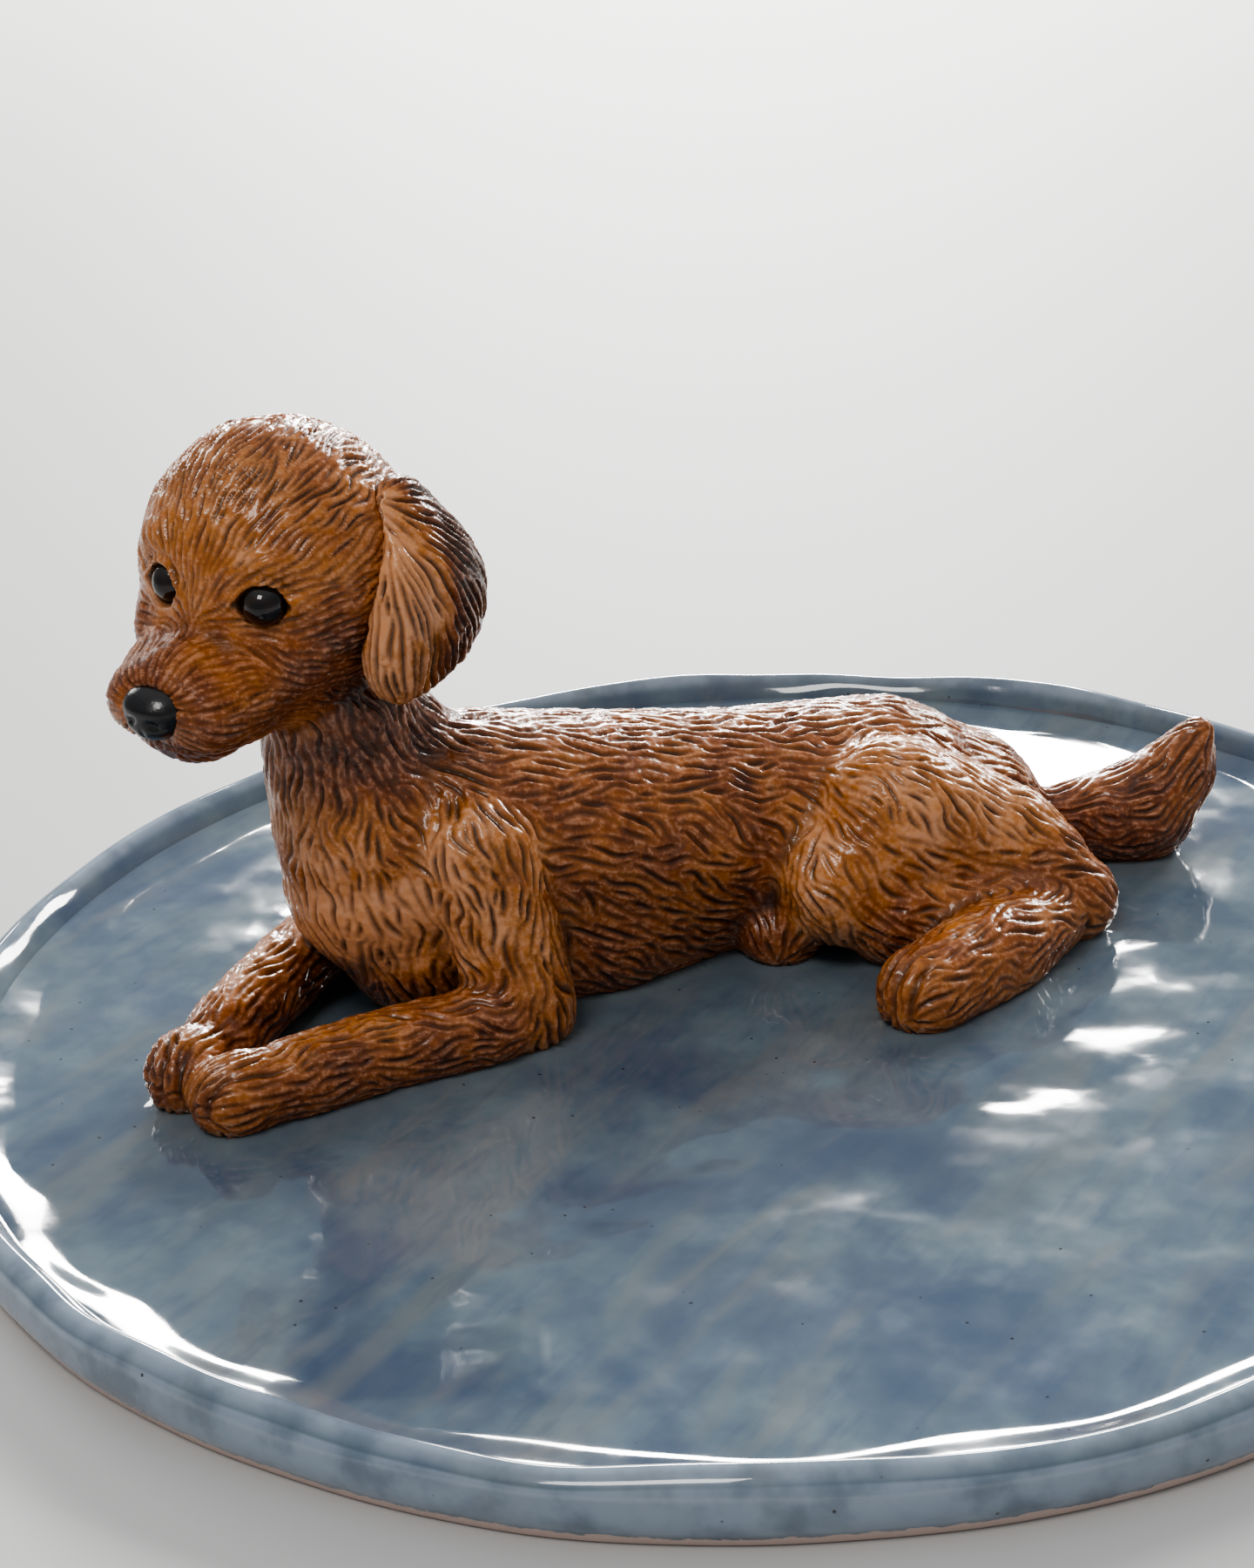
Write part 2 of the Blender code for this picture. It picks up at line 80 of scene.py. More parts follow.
def unit(vectors):
    length = np.linalg.norm(vectors, axis=-1, keepdims=True)
    return vectors / np.maximum(length, 1e-12)


def ramp(values, start, end):
    """0 before start, 1 after end, and smooth between."""
    t = np.clip((values - start) / (end - start), 0, 1)
    return t * t * (3 - 2 * t)


def mm_ramp(values, start, end):
    """As ramp, with start and end in millimetres."""
    return ramp(values, start * MM, end * MM)


def bell(values, width):
    """1 where the values are 0, falling away on both sides over about this width."""
    return np.exp(-((values / width) ** 2))


# ---------------------------------------------------------------- the head's own frame

def head_frame():
    """The skull's centre and radius, and its side, back and up directions, from the head and eye nodes."""
    low, high = node_box("head")
    radius = (high[0] - low[0]) / 2
    centre = np.array(((low[0] + high[0]) / 2, (low[1] + high[1]) / 2, high[2] - radius))
    left, right = node_centre("eye_left"), node_centre("eye_right")
    side = unit(left - right)
    ahead = (left + right) / 2 - centre
    ahead = unit(ahead - side * (ahead @ side))
    level = unit(np.cross(np.array((0, 0, 1.0)), side))
    back = level if level @ ahead < 0 else -level
    return centre, radius, side, back, np.cross(side, back)


SKULL, SKULL_RADIUS, SIDE, BACK, UP = head_frame()
HEAD_AXES = np.array((SIDE, BACK, UP))


def in_head(points):
    """World points in the head's frame: x to its left, y to its back and z up."""
    return (np.asarray(points) - SKULL) @ HEAD_AXES.T


def from_head(x, y, z):
    return SKULL + x * SIDE + y * BACK + z * UP


def on_head(points):
    """1 on the head, and 0 on the neck and body below it."""
    return mm_ramp(points[:, 2], 40, 44)


HEAD_MATRIX = Matrix.Translation(Vector(SKULL)) @ Matrix([list(row) for row in HEAD_AXES.T]).to_4x4()


# ---------------------------------------------------------------- mesh tools

def welded_copy(name, swell=0.0):
    """A bmesh of a CAD node with its split corners welded, swollen along its normals."""
    bm = bmesh.new()
    bm.from_mesh(NODES[name].data)
    bmesh.ops.remove_doubles(bm, verts=bm.verts, dist=1e-6)
    bm.normal_update()
    for vert in bm.verts:
        vert.co += vert.normal * swell
    return bm


def add_ball(bm, centre, radii, axes=HEAD_MATRIX):
    """An ellipsoid, with its centre and half-sizes given in a frame."""
    place = axes @ Matrix.Translation(Vector(centre)) @ Matrix.Diagonal((*radii, 1))
    bmesh.ops.create_uvsphere(bm, u_segments=32, v_segments=20, radius=1, matrix=place)


def remeshed(bm, voxel, name):
    """The closed surface round everything in a bmesh, as a new mesh of even quads."""
    source = bpy.data.meshes.new(name + "_source")
    bm.to_mesh(source)
    bm.free()
    helper = bpy.data.objects.new(name + "_helper", source)
    bpy.context.scene.collection.objects.link(helper)
    remesh = helper.modifiers.new("remesh", "REMESH")
    remesh.mode = "VOXEL"
    remesh.voxel_size = voxel
    graph = bpy.context.evaluated_depsgraph_get()
    mesh = bpy.data.meshes.new_from_object(helper.evaluated_get(graph))
    bpy.data.objects.remove(helper)
    bpy.data.meshes.remove(source)
    return mesh


def points_of(mesh):
    co = np.empty(len(mesh.vertices) * 3)
    mesh.vertices.foreach_get("co", co)
    return co.reshape(-1, 3)


def normals_of(mesh):
    normals = np.empty(len(mesh.vertices) * 3)
    mesh.vertex_normals.foreach_get("vector", normals)
    return normals.reshape(-1, 3)


def edges_of(mesh):
    ends = np.empty(len(mesh.edges) * 2, np.int64)
    mesh.edges.foreach_get("vertices", ends)
    return ends.reshape(-1, 2)


def set_points(mesh, co):
    mesh.vertices.foreach_set("co", np.asarray(co, np.float32).ravel())
    mesh.update()


def averaged(values, edges, rounds, share=0.5):
    """Values at the vertices, each moved towards its neighbours' mean, so many times over."""
    n = len(values)
    a, b = edges[:, 0], edges[:, 1]
    count = np.maximum(np.bincount(a, minlength=n) + np.bincount(b, minlength=n), 1)
    columns = np.array(values, float).reshape(n, -1)
    for _ in range(rounds):
        for k in range(columns.shape[1]):
            c = columns[:, k]
            total = np.bincount(a, c[b], n) + np.bincount(b, c[a], n)
            columns[:, k] = c + share * (total / count - c)
    return columns.reshape(np.shape(values))


def waves(points, wavelength, seed, count=14):
    """Smooth noise of about -1 to 1: a sum of plane waves in random directions."""
    rng = np.random.default_rng(seed)
    total = np.zeros(len(points))
    for _ in range(count):
        direction = unit(rng.normal(size=3))
        length = wavelength * rng.uniform(0.7, 1.6)
        total += np.cos(points @ direction * (2 * math.pi / length) + rng.uniform(0, 2 * math.pi))
    return total / math.sqrt(count / 2) / 1.6


# ---------------------------------------------------------------- the dog's form

BODY_NODES = (
    "torso", "neck", "upper_arm_left", "upper_arm_right", "forearm_left", "forearm_right",
    "fore_paw_left", "fore_paw_right", "thigh_left", "thigh_right", "shank_left", "hind_foot_left",
    "hind_paw_right", "tail",
)
FACE_NODES = ("head", "muzzle", "chin")
EARS = ("ear_left", "ear_right")


# Clay added to the face, in millimetres in the head's frame: each lump's middle, then its half-sizes.
PAIRED_LUMPS = {
    "brow": ((5.5, -10.0, 4.3), (4.0, 3.3, 2.7)),
    "cheek": ((7.9, -8.4, -5.8), (4.0, 4.2, 4.6)),
    "jowl": ((4.9, -12.6, -8.8), (4.2, 6.0, 4.6)),
    "lip": ((3.7, -17.4, -9.8), (4.4, 5.0, 4.3)),
}
MIDDLE_LUMPS = {
    "bridge": ((0, -15.0, -6.2), (4.6, 6.4, 3.1)),
    "jaw": ((0, -15.4, -13.0), (4.6, 5.4, 2.9)),
}


def mm(*values):
    """These millimetres, in metres."""
    return tuple(value * MM for value in values)


def add_face_lumps(bm):
    """Brows, cheeks, the bridge of the nose, the two sides of the upper lip, and the chin."""
    for sign in (1, -1):
        for (side, back, up), radii in PAIRED_LUMPS.values():
            add_ball(bm, mm(sign * side, back, up), mm(*radii))
    for middle, radii in MIDDLE_LUMPS.values():
        add_ball(bm, mm(*middle), mm(*radii))


def add_haunch_lump(bm):
    """Clay that carries the thigh's back down into the hock."""
    hock = corner("shank_left", 0.56, 0.80, 0.62)
    buttock = corner("thigh_left", 0.45, 0.80, 0.48)
    for share in (0.25, 0.5, 0.75):
        place = hock * share + buttock * (1 - share)
        radius = (5.0 + 1.8 * (1 - share)) * MM
        add_ball(bm, place, (radius, radius, radius), Matrix.Identity(4))


def joined(names, swell):
    """The CAD nodes of these names, swollen, in one bmesh."""
    bm = bmesh.new()
    for name in names:
        part = welded_copy(name, swell)
        mesh = bpy.data.meshes.new(name + "_part")
        part.to_mesh(mesh)
        part.free()
        bm.from_mesh(mesh)
        bpy.data.meshes.remove(mesh)
    return bm


def worked_form(bm, rounds, fine_voxel, name):
    """The lumps in a bmesh worked into one smooth clay form."""
    rough = remeshed(bm, ROUGH_VOXEL, name + "_rough")
    set_points(rough, averaged(points_of(rough), edges_of(rough), rounds))
    bm = bmesh.new()
    bm.from_mesh(rough)
    bpy.data.meshes.remove(rough)
    form = remeshed(bm, fine_voxel, name)
    set_points(form, averaged(points_of(form), edges_of(form), FINE_SMOOTHING))
    return form


def dog_form():
    """The body and the face as one clay form, without its fur."""
    bm = joined(BODY_NODES + FACE_NODES, SKIN)
    add_face_lumps(bm)
    add_haunch_lump(bm)
    return worked_form(bm, ROUGH_SMOOTHING, FINE_VOXEL, "dog_form")


def ear_form(name):
    """One hanging ear, with a raised strip down its front edge."""
    form = worked_form(joined((name,), EAR_SWELL), EAR_SMOOTHING, EAR_VOXEL, name + "_form")
    co = points_of(form)
    local = in_head(co)
    front = local[:, 1].min()
    outward = np.sign(local[:, 0].mean()) * (normals_of(form) @ SIDE)
    outer = ramp(outward, 0.0, 0.6)
    strip = bell(local[:, 1] - front - 2.6 * MM, 1.3 * MM)
    trough = bell(local[:, 1] - front - 5.2 * MM, 1.2 * MM)
    push = outer * (0.45 * strip - 0.30 * trough) * MM
    set_points(form, co + normals_of(form) * push[:, None])
    return form


# ---------------------------------------------------------------- eyes, mouth and toes, pressed into the form

EYE_HALF_WIDTH = 2.60 * MM
EYE_HALF_HEIGHT = 1.72 * MM
EYE_REACH = 20 * MM  # stands for far off, behind the eye
EYE_SHARE = 0.95
LID_HEIGHT = 0.36 * MM
SOCKET_DEPTH = 0.9 * MM
CREASE_DEPTH = 0.22 * MM


def eye_axes(name):
    """An eye's centre, and its own side, outward and up directions."""
    centre = node_centre(name)
    outward = unit(centre - SKULL)
    outward = unit(outward - 0.35 * BACK)
    side = unit(SIDE - outward * (SIDE @ outward))
    return centre, side, outward, np.cross(side, -outward)


def eye_opening(points, name):
    """How far each point is outside the almond-shaped opening, above the eye's centre and ahead of it."""
    centre, side, outward, up = eye_axes(name)
    local = points - centre
    u, v, w = local @ side, local @ up, local @ outward
    share = np.clip(np.abs(u) / EYE_HALF_WIDTH, 0, 1)
    edge = EYE_HALF_HEIGHT * (1 - share**2.3)
    beyond = np.maximum(np.abs(u) - EYE_HALF_WIDTH, 0)
    away = np.hypot(np.maximum(np.abs(v) - edge, 0), beyond)
    inside = np.minimum(edge - np.abs(v), EYE_HALF_WIDTH - np.abs(u))
    distance = np.where(away > 0, away, -np.maximum(inside, 0))
    return np.where(w > -EYE_HALF_WIDTH, distance, EYE_REACH), v, w


def press_eyes(form):
    """Sockets that the eyes sit in, and the lids round them. Returns where the clay is inked."""
    co = points_of(form)
    ink = np.zeros(len(co))
    clear = np.zeros(len(co), bool)
    for name in ("eye_left", "eye_right"):
        outward = eye_axes(name)[2]
        distance, height, depth = eye_opening(co, name)
        inside = 1 - mm_ramp(distance, -0.22, 0.12)
        sunk = np.maximum(depth - SOCKET_DEPTH, 0) * inside
        lid = LID_HEIGHT * bell(distance - 0.55 * MM, 0.38 * MM)
        lid *= 1 + 0.5 * mm_ramp(height, 0, 1.5)
        crease = CREASE_DEPTH * bell(distance - 1.55 * MM, 0.35 * MM) * mm_ramp(height, 0.2, 1.6)
        co = co + outward * (lid - sunk - crease)[:, None]
        ink = np.maximum(ink, 0.95 * (1 - mm_ramp(distance, 0.05, 0.75)))
        clear |= distance < 0.50 * MM
    set_points(form, co)
    return ink, clear


MOUTH_DROP = 12.6 * MM
MOUTH_FRONT = 12.0 * MM
MOUTH_DEPTH = 0.42
PHILTRUM_DEPTH = 0.35


def press_mouth(form):
    """The line between the lips and the groove under the nose. Returns where the clay is inked."""
    co = points_of(form)
    normals = normals_of(form)
    x, y, z = in_head(co).T
    ahead = ramp(-y, MOUTH_FRONT, MOUTH_FRONT + 3 * MM)
    line = z + MOUTH_DROP + 0.14 * np.abs(x)
    mouth = bell(line, 0.42 * MM) * ahead
    under = mm_ramp(-z, 10.5, 11.4) * (1 - mm_ramp(-z, 12.6, 13.2))
    philtrum = bell(x, 0.35 * MM) * under * mm_ramp(-y, 18, 20)
    push = -(MOUTH_DEPTH * mouth + PHILTRUM_DEPTH * philtrum) * MM
    set_points(form, co + normals * push[:, None])
    return np.maximum(0.75 * mouth, 0.8 * philtrum)


# Each paw's toes point from one node's middle towards its own, and TOES gives their number.
TOES = (
    ("fore_paw_left", "forearm_left", 4),
    ("fore_paw_right", "forearm_right", 4),
    ("hind_foot_left", "shank_left", 4),
    ("hind_paw_right", "torso", 3),
)
HIND_FOOT_WAY = (0.42, -0.9)  # the way the left hind foot points, from above
TOE_GROOVE_DEPTH = 0.55 * MM


def press_toes(form, node, names):
    """Grooves between the toes at the front of each paw. Returns where the clay is inked."""
    co = points_of(form)
    normals = normals_of(form)
    ink = np.zeros(len(co))
    for paw, behind, toes in TOES:
        mine = node == names.index(paw)
        heading = unit((node_centre(paw) - node_centre(behind)) * (1, 1, 0))
        if paw == "hind_foot_left":
            heading = unit(np.array((*HIND_FOOT_WAY, 0)))
        across = np.array((-heading[1], heading[0], 0))
        far = (co[mine] @ heading).max()
        tip = co[mine][co[mine] @ heading > far - 3 * MM].mean(axis=0)
        middle, half = tip @ across, 4.3 * MM
        front = ramp(co @ heading, far - 7.0 * MM, far - 2.5 * MM)
        above = ramp(normals[:, 2], -0.6, 0.1)
        for gap in range(1, toes):
            offset = half * (2 * gap / toes - 1)
            spread = co @ across - middle - offset * (0.75 + 0.25 * front)
            groove = bell(spread, 0.40 * MM) * front * above * mine
            co = co - normals * (TOE_GROOVE_DEPTH * groove)[:, None]
            ink = np.maximum(ink, 0.7 * groove)
    set_points(form, co)
    return ink


def hollows(form):
    """How hollow the form is at each vertex: 1 in a deep crease, and below 0 on a crest. It sets where
    painted shade darkens the fur.
    """
    co = points_of(form)
    inward = ((averaged(co, edges_of(form), HOLLOW_SMOOTHING) - co) * normals_of(form)).sum(axis=1)
    return np.clip(inward / (0.35 * MM), -1, 1)


# ---------------------------------------------------------------- how the fur lies

def away_from(place):
    return lambda points: unit(points - place)


def along(*direction):
    way = unit(np.array(direction, float))
    return lambda points: np.tile(way, (len(points), 1))


def torso_lay(points):
    """Down the chest, back along the spine, and back and down over the ribs."""
    low, high = node_box("torso")
    front = 1 - ramp(points[:, 1], low[1] + 12 * MM, low[1] + 30 * MM)
    drop = 1 - ramp(points[:, 2], high[2] - 18 * MM, high[2] - 3 * MM)
    back = np.stack([0 * drop, np.ones(len(points)), -0.75 * drop], axis=1)
    down = np.array((0.0, 0.12, -1.0))
    return unit(front[:, None] * down + (1 - front[:, None]) * back)


def neck_lay(points):
    """Down the throat, and back down the nape to the withers."""
    low, high = node_box("neck")
    nape = ramp(points[:, 1], low[1] + 6 * MM, high[1] - 3 * MM)
    return unit(np.stack([0 * nape, 0.15 + 0.85 * nape, -1.0 + 0.25 * nape], axis=1))


def tail_lay(points):
    low, high = node_box("tail")
    lift = ramp(points[:, 1], low[1] + 8 * MM, high[1])
    return unit(np.stack([0 * lift, 1.0 - 0.4 * lift, 1.3 * lift - 0.1], axis=1))


def limb_lay(start, end):
    return along(*(node_centre(end) - node_centre(start)))


def corner(name, x, y, z):
    """A point of a node's box, with each share from 0 at its low side to 1 at its high side."""
    low, high = node_box(name)
    return low + (high - low) * np.array((x, y, z))


def ear_root(name):
    """The place over an ear's front edge that its fur hangs from."""
    side, back, up = in_head(node_centre(name))
    return from_head(side * 0.9, back - 7.0 * MM, up + 14.0 * MM)


# How each part's fur is cut: its direction, then spacing, length, width and depth in millimetres.
FUR = {
    "torso": (torso_lay, 1.20, 5.5, 0.52, 0.42),
    "neck": (neck_lay, 1.10, 5.0, 0.48, 0.40),
    "head": (away_from(from_head(*mm(0, -13.0, -3.0))), 0.82, 5.0, 0.38, 0.38),
    "muzzle": (away_from(from_head(*mm(0, -25.0, -8.0))), 0.74, 4.2, 0.34, 0.36),
    "chin": (away_from(from_head(*mm(0, -25.0, -8.0))), 0.80, 3.0, 0.38, 0.24),
    "thigh_left": (away_from(corner("thigh_left", 0.2, -0.30, 1.90)), 1.15, 4.6, 0.50, 0.38),
    "thigh_right": (away_from(corner("thigh_right", 0.8, 0.25, 1.35)), 1.15, 4.6, 0.50, 0.38),
    "shank_left": (along(0.15, 1, -0.35), 1.15, 4.5, 0.50, 0.38),
    "hind_foot_left": (along(*HIND_FOOT_WAY, -0.05), 1.10, 4.5, 0.48, 0.38),
    "hind_paw_right": (along(0.8, -0.3, -0.5), 1.15, 4.0, 0.50, 0.34),
    "tail": (tail_lay, 1.10, 8.0, 0.50, 0.42),
}
for end, sign in (("_left", 1), ("_right", -1)):
    foreleg = limb_lay("forearm" + end, "fore_paw" + end)
    FUR["ear" + end] = (away_from(ear_root("ear" + end)), 0.95, 12.0, 0.44, 0.56)
    FUR["upper_arm" + end] = (along(sign * 0.10, 0.12, -1), 1.20, 5.0, 0.56, 0.50)
    FUR["forearm" + end] = (foreleg, 1.05, 4.0, 0.46, 0.40)
    FUR["fore_paw" + end] = (foreleg, 1.15, 5.0, 0.46, 0.42)


# How pale each part is painted, from 0 for umber to 1 for ochre: mostly its stain, with painted shade in the
# dark neck and chin under the head, and partly a painted reflection in the pale left thigh.
TONES = {
    "torso": 0.48, "neck": 0.10, "head": 0.56, "muzzle": 0.36, "chin": 0.08, "ear_left": 0.48,
    "ear_right": 0.48, "upper_arm_left": 0.74, "upper_arm_right": 0.58, "forearm_left": 0.46,
    "forearm_right": 0.40, "fore_paw_left": 0.56, "fore_paw_right": 0.50, "thigh_left": 0.84,
    "thigh_right": 0.58, "shank_left": 0.44, "hind_foot_left": 0.60, "hind_paw_right": 0.48, "tail": 0.42,
}


class Coat:
    """The fur of one mesh: which node each vertex belongs to, which way it lies and how it is cut."""

    def __init__(self, mesh, names, seed, wander=1.0):
        self.mesh = mesh
        self.wander = wander
        self.names = names
        self.seed = seed
        self.co = points_of(mesh)
        self.normals = normals_of(mesh)
        self.edges = edges_of(mesh)
        self.node = self.nearest_nodes()
        self.cut = self.blended_cut()
        self.flow = self.combed()

    def nearest_nodes(self):
        """The index of the nearest CAD node, for each vertex."""
        corners, faces, owner = [], [], []
        for index, name in enumerate(self.names):
            mesh = NODES[name].data
            mesh.calc_loop_triangles()
            start = len(corners)
            corners += [vert.co.copy() for vert in mesh.vertices]
            faces += [[start + i for i in triangle.vertices] for triangle in mesh.loop_triangles]
            owner += [index] * len(mesh.loop_triangles)
        tree = BVHTree.FromPolygons(corners, faces)
        return np.array([owner[tree.find_nearest(Vector(p))[2]] for p in self.co])

    def blended_cut(self):
        sizes = np.array([FUR[name][1:] for name in self.names])[self.node] * MM
        sizes = averaged(sizes, self.edges, FLOW_SMOOTHING // 2)
        _, y, z = in_head(self.co).T
        face = on_head(self.co) * mm_ramp(-y, 4, 10) * (1 - mm_ramp(z, 3, 11))
        crown = on_head(self.co) * mm_ramp(z, 5, 12)
        sizes[:, 3] *= 1 - 0.25 * face + 0.40 * crown
        return sizes

    def combed(self):
        """Unit directions in the surface, blended from part to part and wandering a little."""
        lay = np.zeros((len(self.co), 3))
        for index, name in enumerate(self.names):
            mine = self.node == index
            lay[mine] = FUR[name][0](self.co[mine])
        lay = averaged(self.in_surface(lay), self.edges, FLOW_SMOOTHING)
        lay = self.in_surface(lay)
        swing = 0.42 * waves(self.co, 6 * MM, self.seed) + 0.30 * waves(self.co, 2.6 * MM, self.seed + 1)
        face = on_head(self.co) * mm_ramp(-in_head(self.co)[:, 1], 0, 8)
        swing *= self.wander * (1 - 0.55 * face)
        across = np.cross(self.normals, lay)
        return unit(lay * np.cos(swing)[:, None] + across * np.sin(swing)[:, None])

    def in_surface(self, directions):
        inward = (directions * self.normals).sum(axis=1, keepdims=True)
        return unit(directions - inward * self.normals)


STEP = 0.30 * MM
CELL = 0.70 * MM


class Strokes:
    """Tool strokes laid evenly along a coat's flow, none nearer to another than the spacing there."""

    def __init__(self, coat, skip=None):
        self.coat = coat
        self.skip = skip
        self.tree = BVHTree.FromPolygons([Vector(p) for p in coat.co], polygons_of(coat.mesh))
        self.first = [polygon.vertices[0] for polygon in coat.mesh.polygons]
        self.cells = {}
        self.points, self.tangents, self.width, self.depth = [], [], [], []

    def crowded(self, place, reach, own):
        x, y, z = (int(math.floor(c / CELL)) for c in place)
        for i in range(x - 1, x + 2):
            for j in range(y - 1, y + 2):
                for k in range(z - 1, z + 2):
                    for other, stroke in self.cells.get((i, j, k), ()):
                        if stroke != own and (other - place).length_squared < reach * reach:
                            return True
        return False

    def trace(self, vertex, number, rng):
        """Follows the flow both ways from a vertex and returns the stroke's places."""
        spacing, length = self.coat.cut[vertex][:2]
        reach = spacing * rng.uniform(0.52, 0.78)
        start = Vector(self.coat.co[vertex])
        if self.crowded(start, spacing * 0.80, number):
            return []
        half = length * rng.uniform(0.30, 0.75)
        ways = []
        for sign in (1, -1):
            place, gone, way = start.copy(), 0.0, []
            here = vertex
            while gone < half:
                place = place + Vector(self.coat.flow[here]) * (sign * STEP)
                found = self.tree.find_nearest(place)
                place = found[0]
                here = self.first[found[2]]
                if self.crowded(place, reach, number):
                    break
                way.append((place, here))
                gone += STEP
            ways.append(way)
        return ways[1][::-1] + [(start, vertex)] + ways[0]

    def lay(self, tries, shortest=1.2 * MM):
        rng = random.Random(self.coat.seed)
        order = [rng.randrange(len(self.coat.co)) for _ in range(tries)]
        for number, vertex in enumerate(order):
            if self.skip is not None and self.skip[vertex]:
                continue
            way = self.trace(vertex, number, rng)
            if len(way) * STEP < shortest:
                continue
            strength = rng.uniform(0.50, 1.20)
            breadth = rng.uniform(0.70, 1.15)
            for i, (place, here) in enumerate(way):
                key = tuple(int(math.floor(c / CELL)) for c in place)
                self.cells.setdefault(key, []).append((place, number))
                taper = math.sin(math.pi * (i + 0.7) / (len(way) + 0.4)) ** 0.6
                self.points.append(place)
                self.tangents.append(self.coat.flow[here])
                self.width.append(self.coat.cut[here][2] * breadth * (0.65 + 0.35 * taper))
                self.depth.append(self.coat.cut[here][3] * taper * strength)

    def profile(self):
        """How deep each vertex lies in its nearest stroke, and how much clay is pushed up beside it."""
        tree = kdtree.KDTree(len(self.points))
        for i, place in enumerate(self.points):
            tree.insert(place, i)
        tree.balance()
        co = self.coat.co
        nearest = np.array([tree.find(p)[1] for p in co])
        offset = co - np.array(self.points)[nearest]
        tangent = np.array(self.tangents)[nearest]
        run = (offset * tangent).sum(axis=1)
        across = np.maximum((offset**2).sum(axis=1) - run**2, 0)
        beside = np.sqrt(across + np.maximum(np.abs(run) - STEP, 0) ** 2)
        width = np.array(self.width)[nearest]
        depth = np.array(self.depth)[nearest]
        share = np.clip(1 - beside / width, 0, 1) ** 1.2
        lip = bell(beside - 1.15 * width, 0.35 * width)
        return depth, share, lip


def stain_and_painted_light(coat):
    """How pale the fur is painted at each vertex: the stain, with painted shade on the cheeks and the belly.

    The face, the chest and the front edges of the ears are pale, and the cheeks and the belly dark.
    """
    tone = averaged(np.array([TONES[name] for name in coat.names])[coat.node], coat.edges, TONE_SMOOTHING)
    x, y, z = in_head(coat.co).T
    is_head = on_head(coat.co)
    face = is_head * mm_ramp(-y, 3, 11) * mm_ramp(z, -7, 2)
    cheek = is_head * mm_ramp(np.abs(x), 6, 10) * (1 - mm_ramp(z, -6, 1)) * (1 - mm_ramp(-y, 10, 15))
    low = node_box("torso")[0]
    chest = (1 - ramp(coat.co[:, 1], low[1] + 6 * MM, low[1] + 20 * MM)) * (1 - is_head)
    chest *= mm_ramp(coat.co[:, 2], 9, 15) * (1 - 0.7 * mm_ramp(coat.co[:, 2], 26, 36))
    belly = (1 - ramp(coat.co[:, 2], low[2] + 3 * MM, low[2] + 15 * MM)) * (1 - is_head)
    # Painted shade: the lower sides of the head and the bottom of the belly are darkened, where less light
    # reaches.
    tone += 0.16 * face - 0.30 * cheek + 0.72 * chest - 0.08 * belly * (1 - chest)
    if "ear_left" in coat.names or "ear_right" in coat.names:
        front = y - y.min()
        tone += 0.85 * (1 - mm_ramp(front, 3.0, 9)) - 0.56 * mm_ramp(front, 6, 12)
    return tone + 0.07 * waves(coat.co, 9 * MM, SEED + 20) + 0.05 * waves(coat.co, 3 * MM, SEED + 21)


def dry_glaze(coat):
    """Where the clear glaze is thin: along the top of the muzzle."""
    _, y, z = in_head(coat.co).T
    top = ramp(coat.normals @ UP, 0.0, 0.4) * on_head(coat.co)
    return top * mm_ramp(-y, 9, 13) * (1 - mm_ramp(z, -4, 0))


def polygons_of(mesh):
    return [list(polygon.vertices) for polygon in mesh.polygons]


LIP_SHARE = 0.22  # how much of a cut's depth stands up beside it
FULL_DEPTH = 0.34 * MM


def cut_fur(coat, tries, skip=None):
    """Cuts the strokes into the mesh, and keeps the cuts as groove and the clay beside them as ridge."""
    strokes = Strokes(coat, skip)
    strokes.lay(tries)
    depth, share, lip = strokes.profile()
    grain = 0.030 * MM * waves(coat.co, 1.0 * MM, coat.seed + 5, 24)
    grain += 0.060 * MM * waves(coat.co, 3.2 * MM, coat.seed + 6, 24)
    push = -depth * share + LIP_SHARE * depth * lip + grain
    set_points(coat.mesh, coat.co + coat.normals * push[:, None])
    groove = np.clip(share * np.clip(depth / FULL_DEPTH, 0.45, 1.2), 0, 1)
    add_attributes(coat.mesh, groove=groove, ridge=np.clip(lip * (1 - share), 0, 1))


def add_attributes(mesh, **values):
    for name, array in values.items():
        layer = mesh.attributes.get(name) or mesh.attributes.new(name, "FLOAT", "POINT")
        layer.data.foreach_set("value", np.asarray(array, np.float32))


# ---------------------------------------------------------------- stage, camera and light

CAMERA_AIM = Vector((6.4, -16.1, 34.9)) * MM
CAMERA_DISTANCE = 300 * MM
CAMERA_AZIMUTH = math.radians(71.65)
CAMERA_ELEVATION = math.radians(23.45)
CAMERA_ROLL = math.radians(-3.48)
CAMERA_LENS = 68


def add_camera():
    camera = bpy.data.objects.new("camera", bpy.data.cameras.new("camera"))
    bpy.context.scene.collection.objects.link(camera)
    level = math.cos(CAMERA_ELEVATION)
    back = Vector((
        math.sin(CAMERA_AZIMUTH) * level,
        -math.cos(CAMERA_AZIMUTH) * level,
        math.sin(CAMERA_ELEVATION),
    ))
    camera.location = CAMERA_AIM + back * CAMERA_DISTANCE
    turn = (-back).to_track_quat("-Z", "Y").to_matrix() @ Matrix.Rotation(CAMERA_ROLL, 3, "Z")
    camera.rotation_euler = turn.to_euler()
    camera.data.lens = CAMERA_LENS
    camera.data.sensor_width = 36
    camera.data.clip_start = 1 * MM
    camera.data.clip_end = 20
    bpy.context.scene.camera = camera


def add_area(name, place, aim, size, watts, colour):
    light = bpy.data.lights.new(name, "AREA")
    light.shape = "RECTANGLE"
    light.size, light.size_y = size
    light.energy = watts
    light.color = colour
    lamp = bpy.data.objects.new(name, light)
    lamp.location = place
    lamp.rotation_euler = (Vector(aim) - Vector(place)).to_track_quat("-Z", "Y").to_euler()
    bpy.context.scene.collection.objects.link(lamp)


TABLE_GREY = (0.51, 0.505, 0.50)


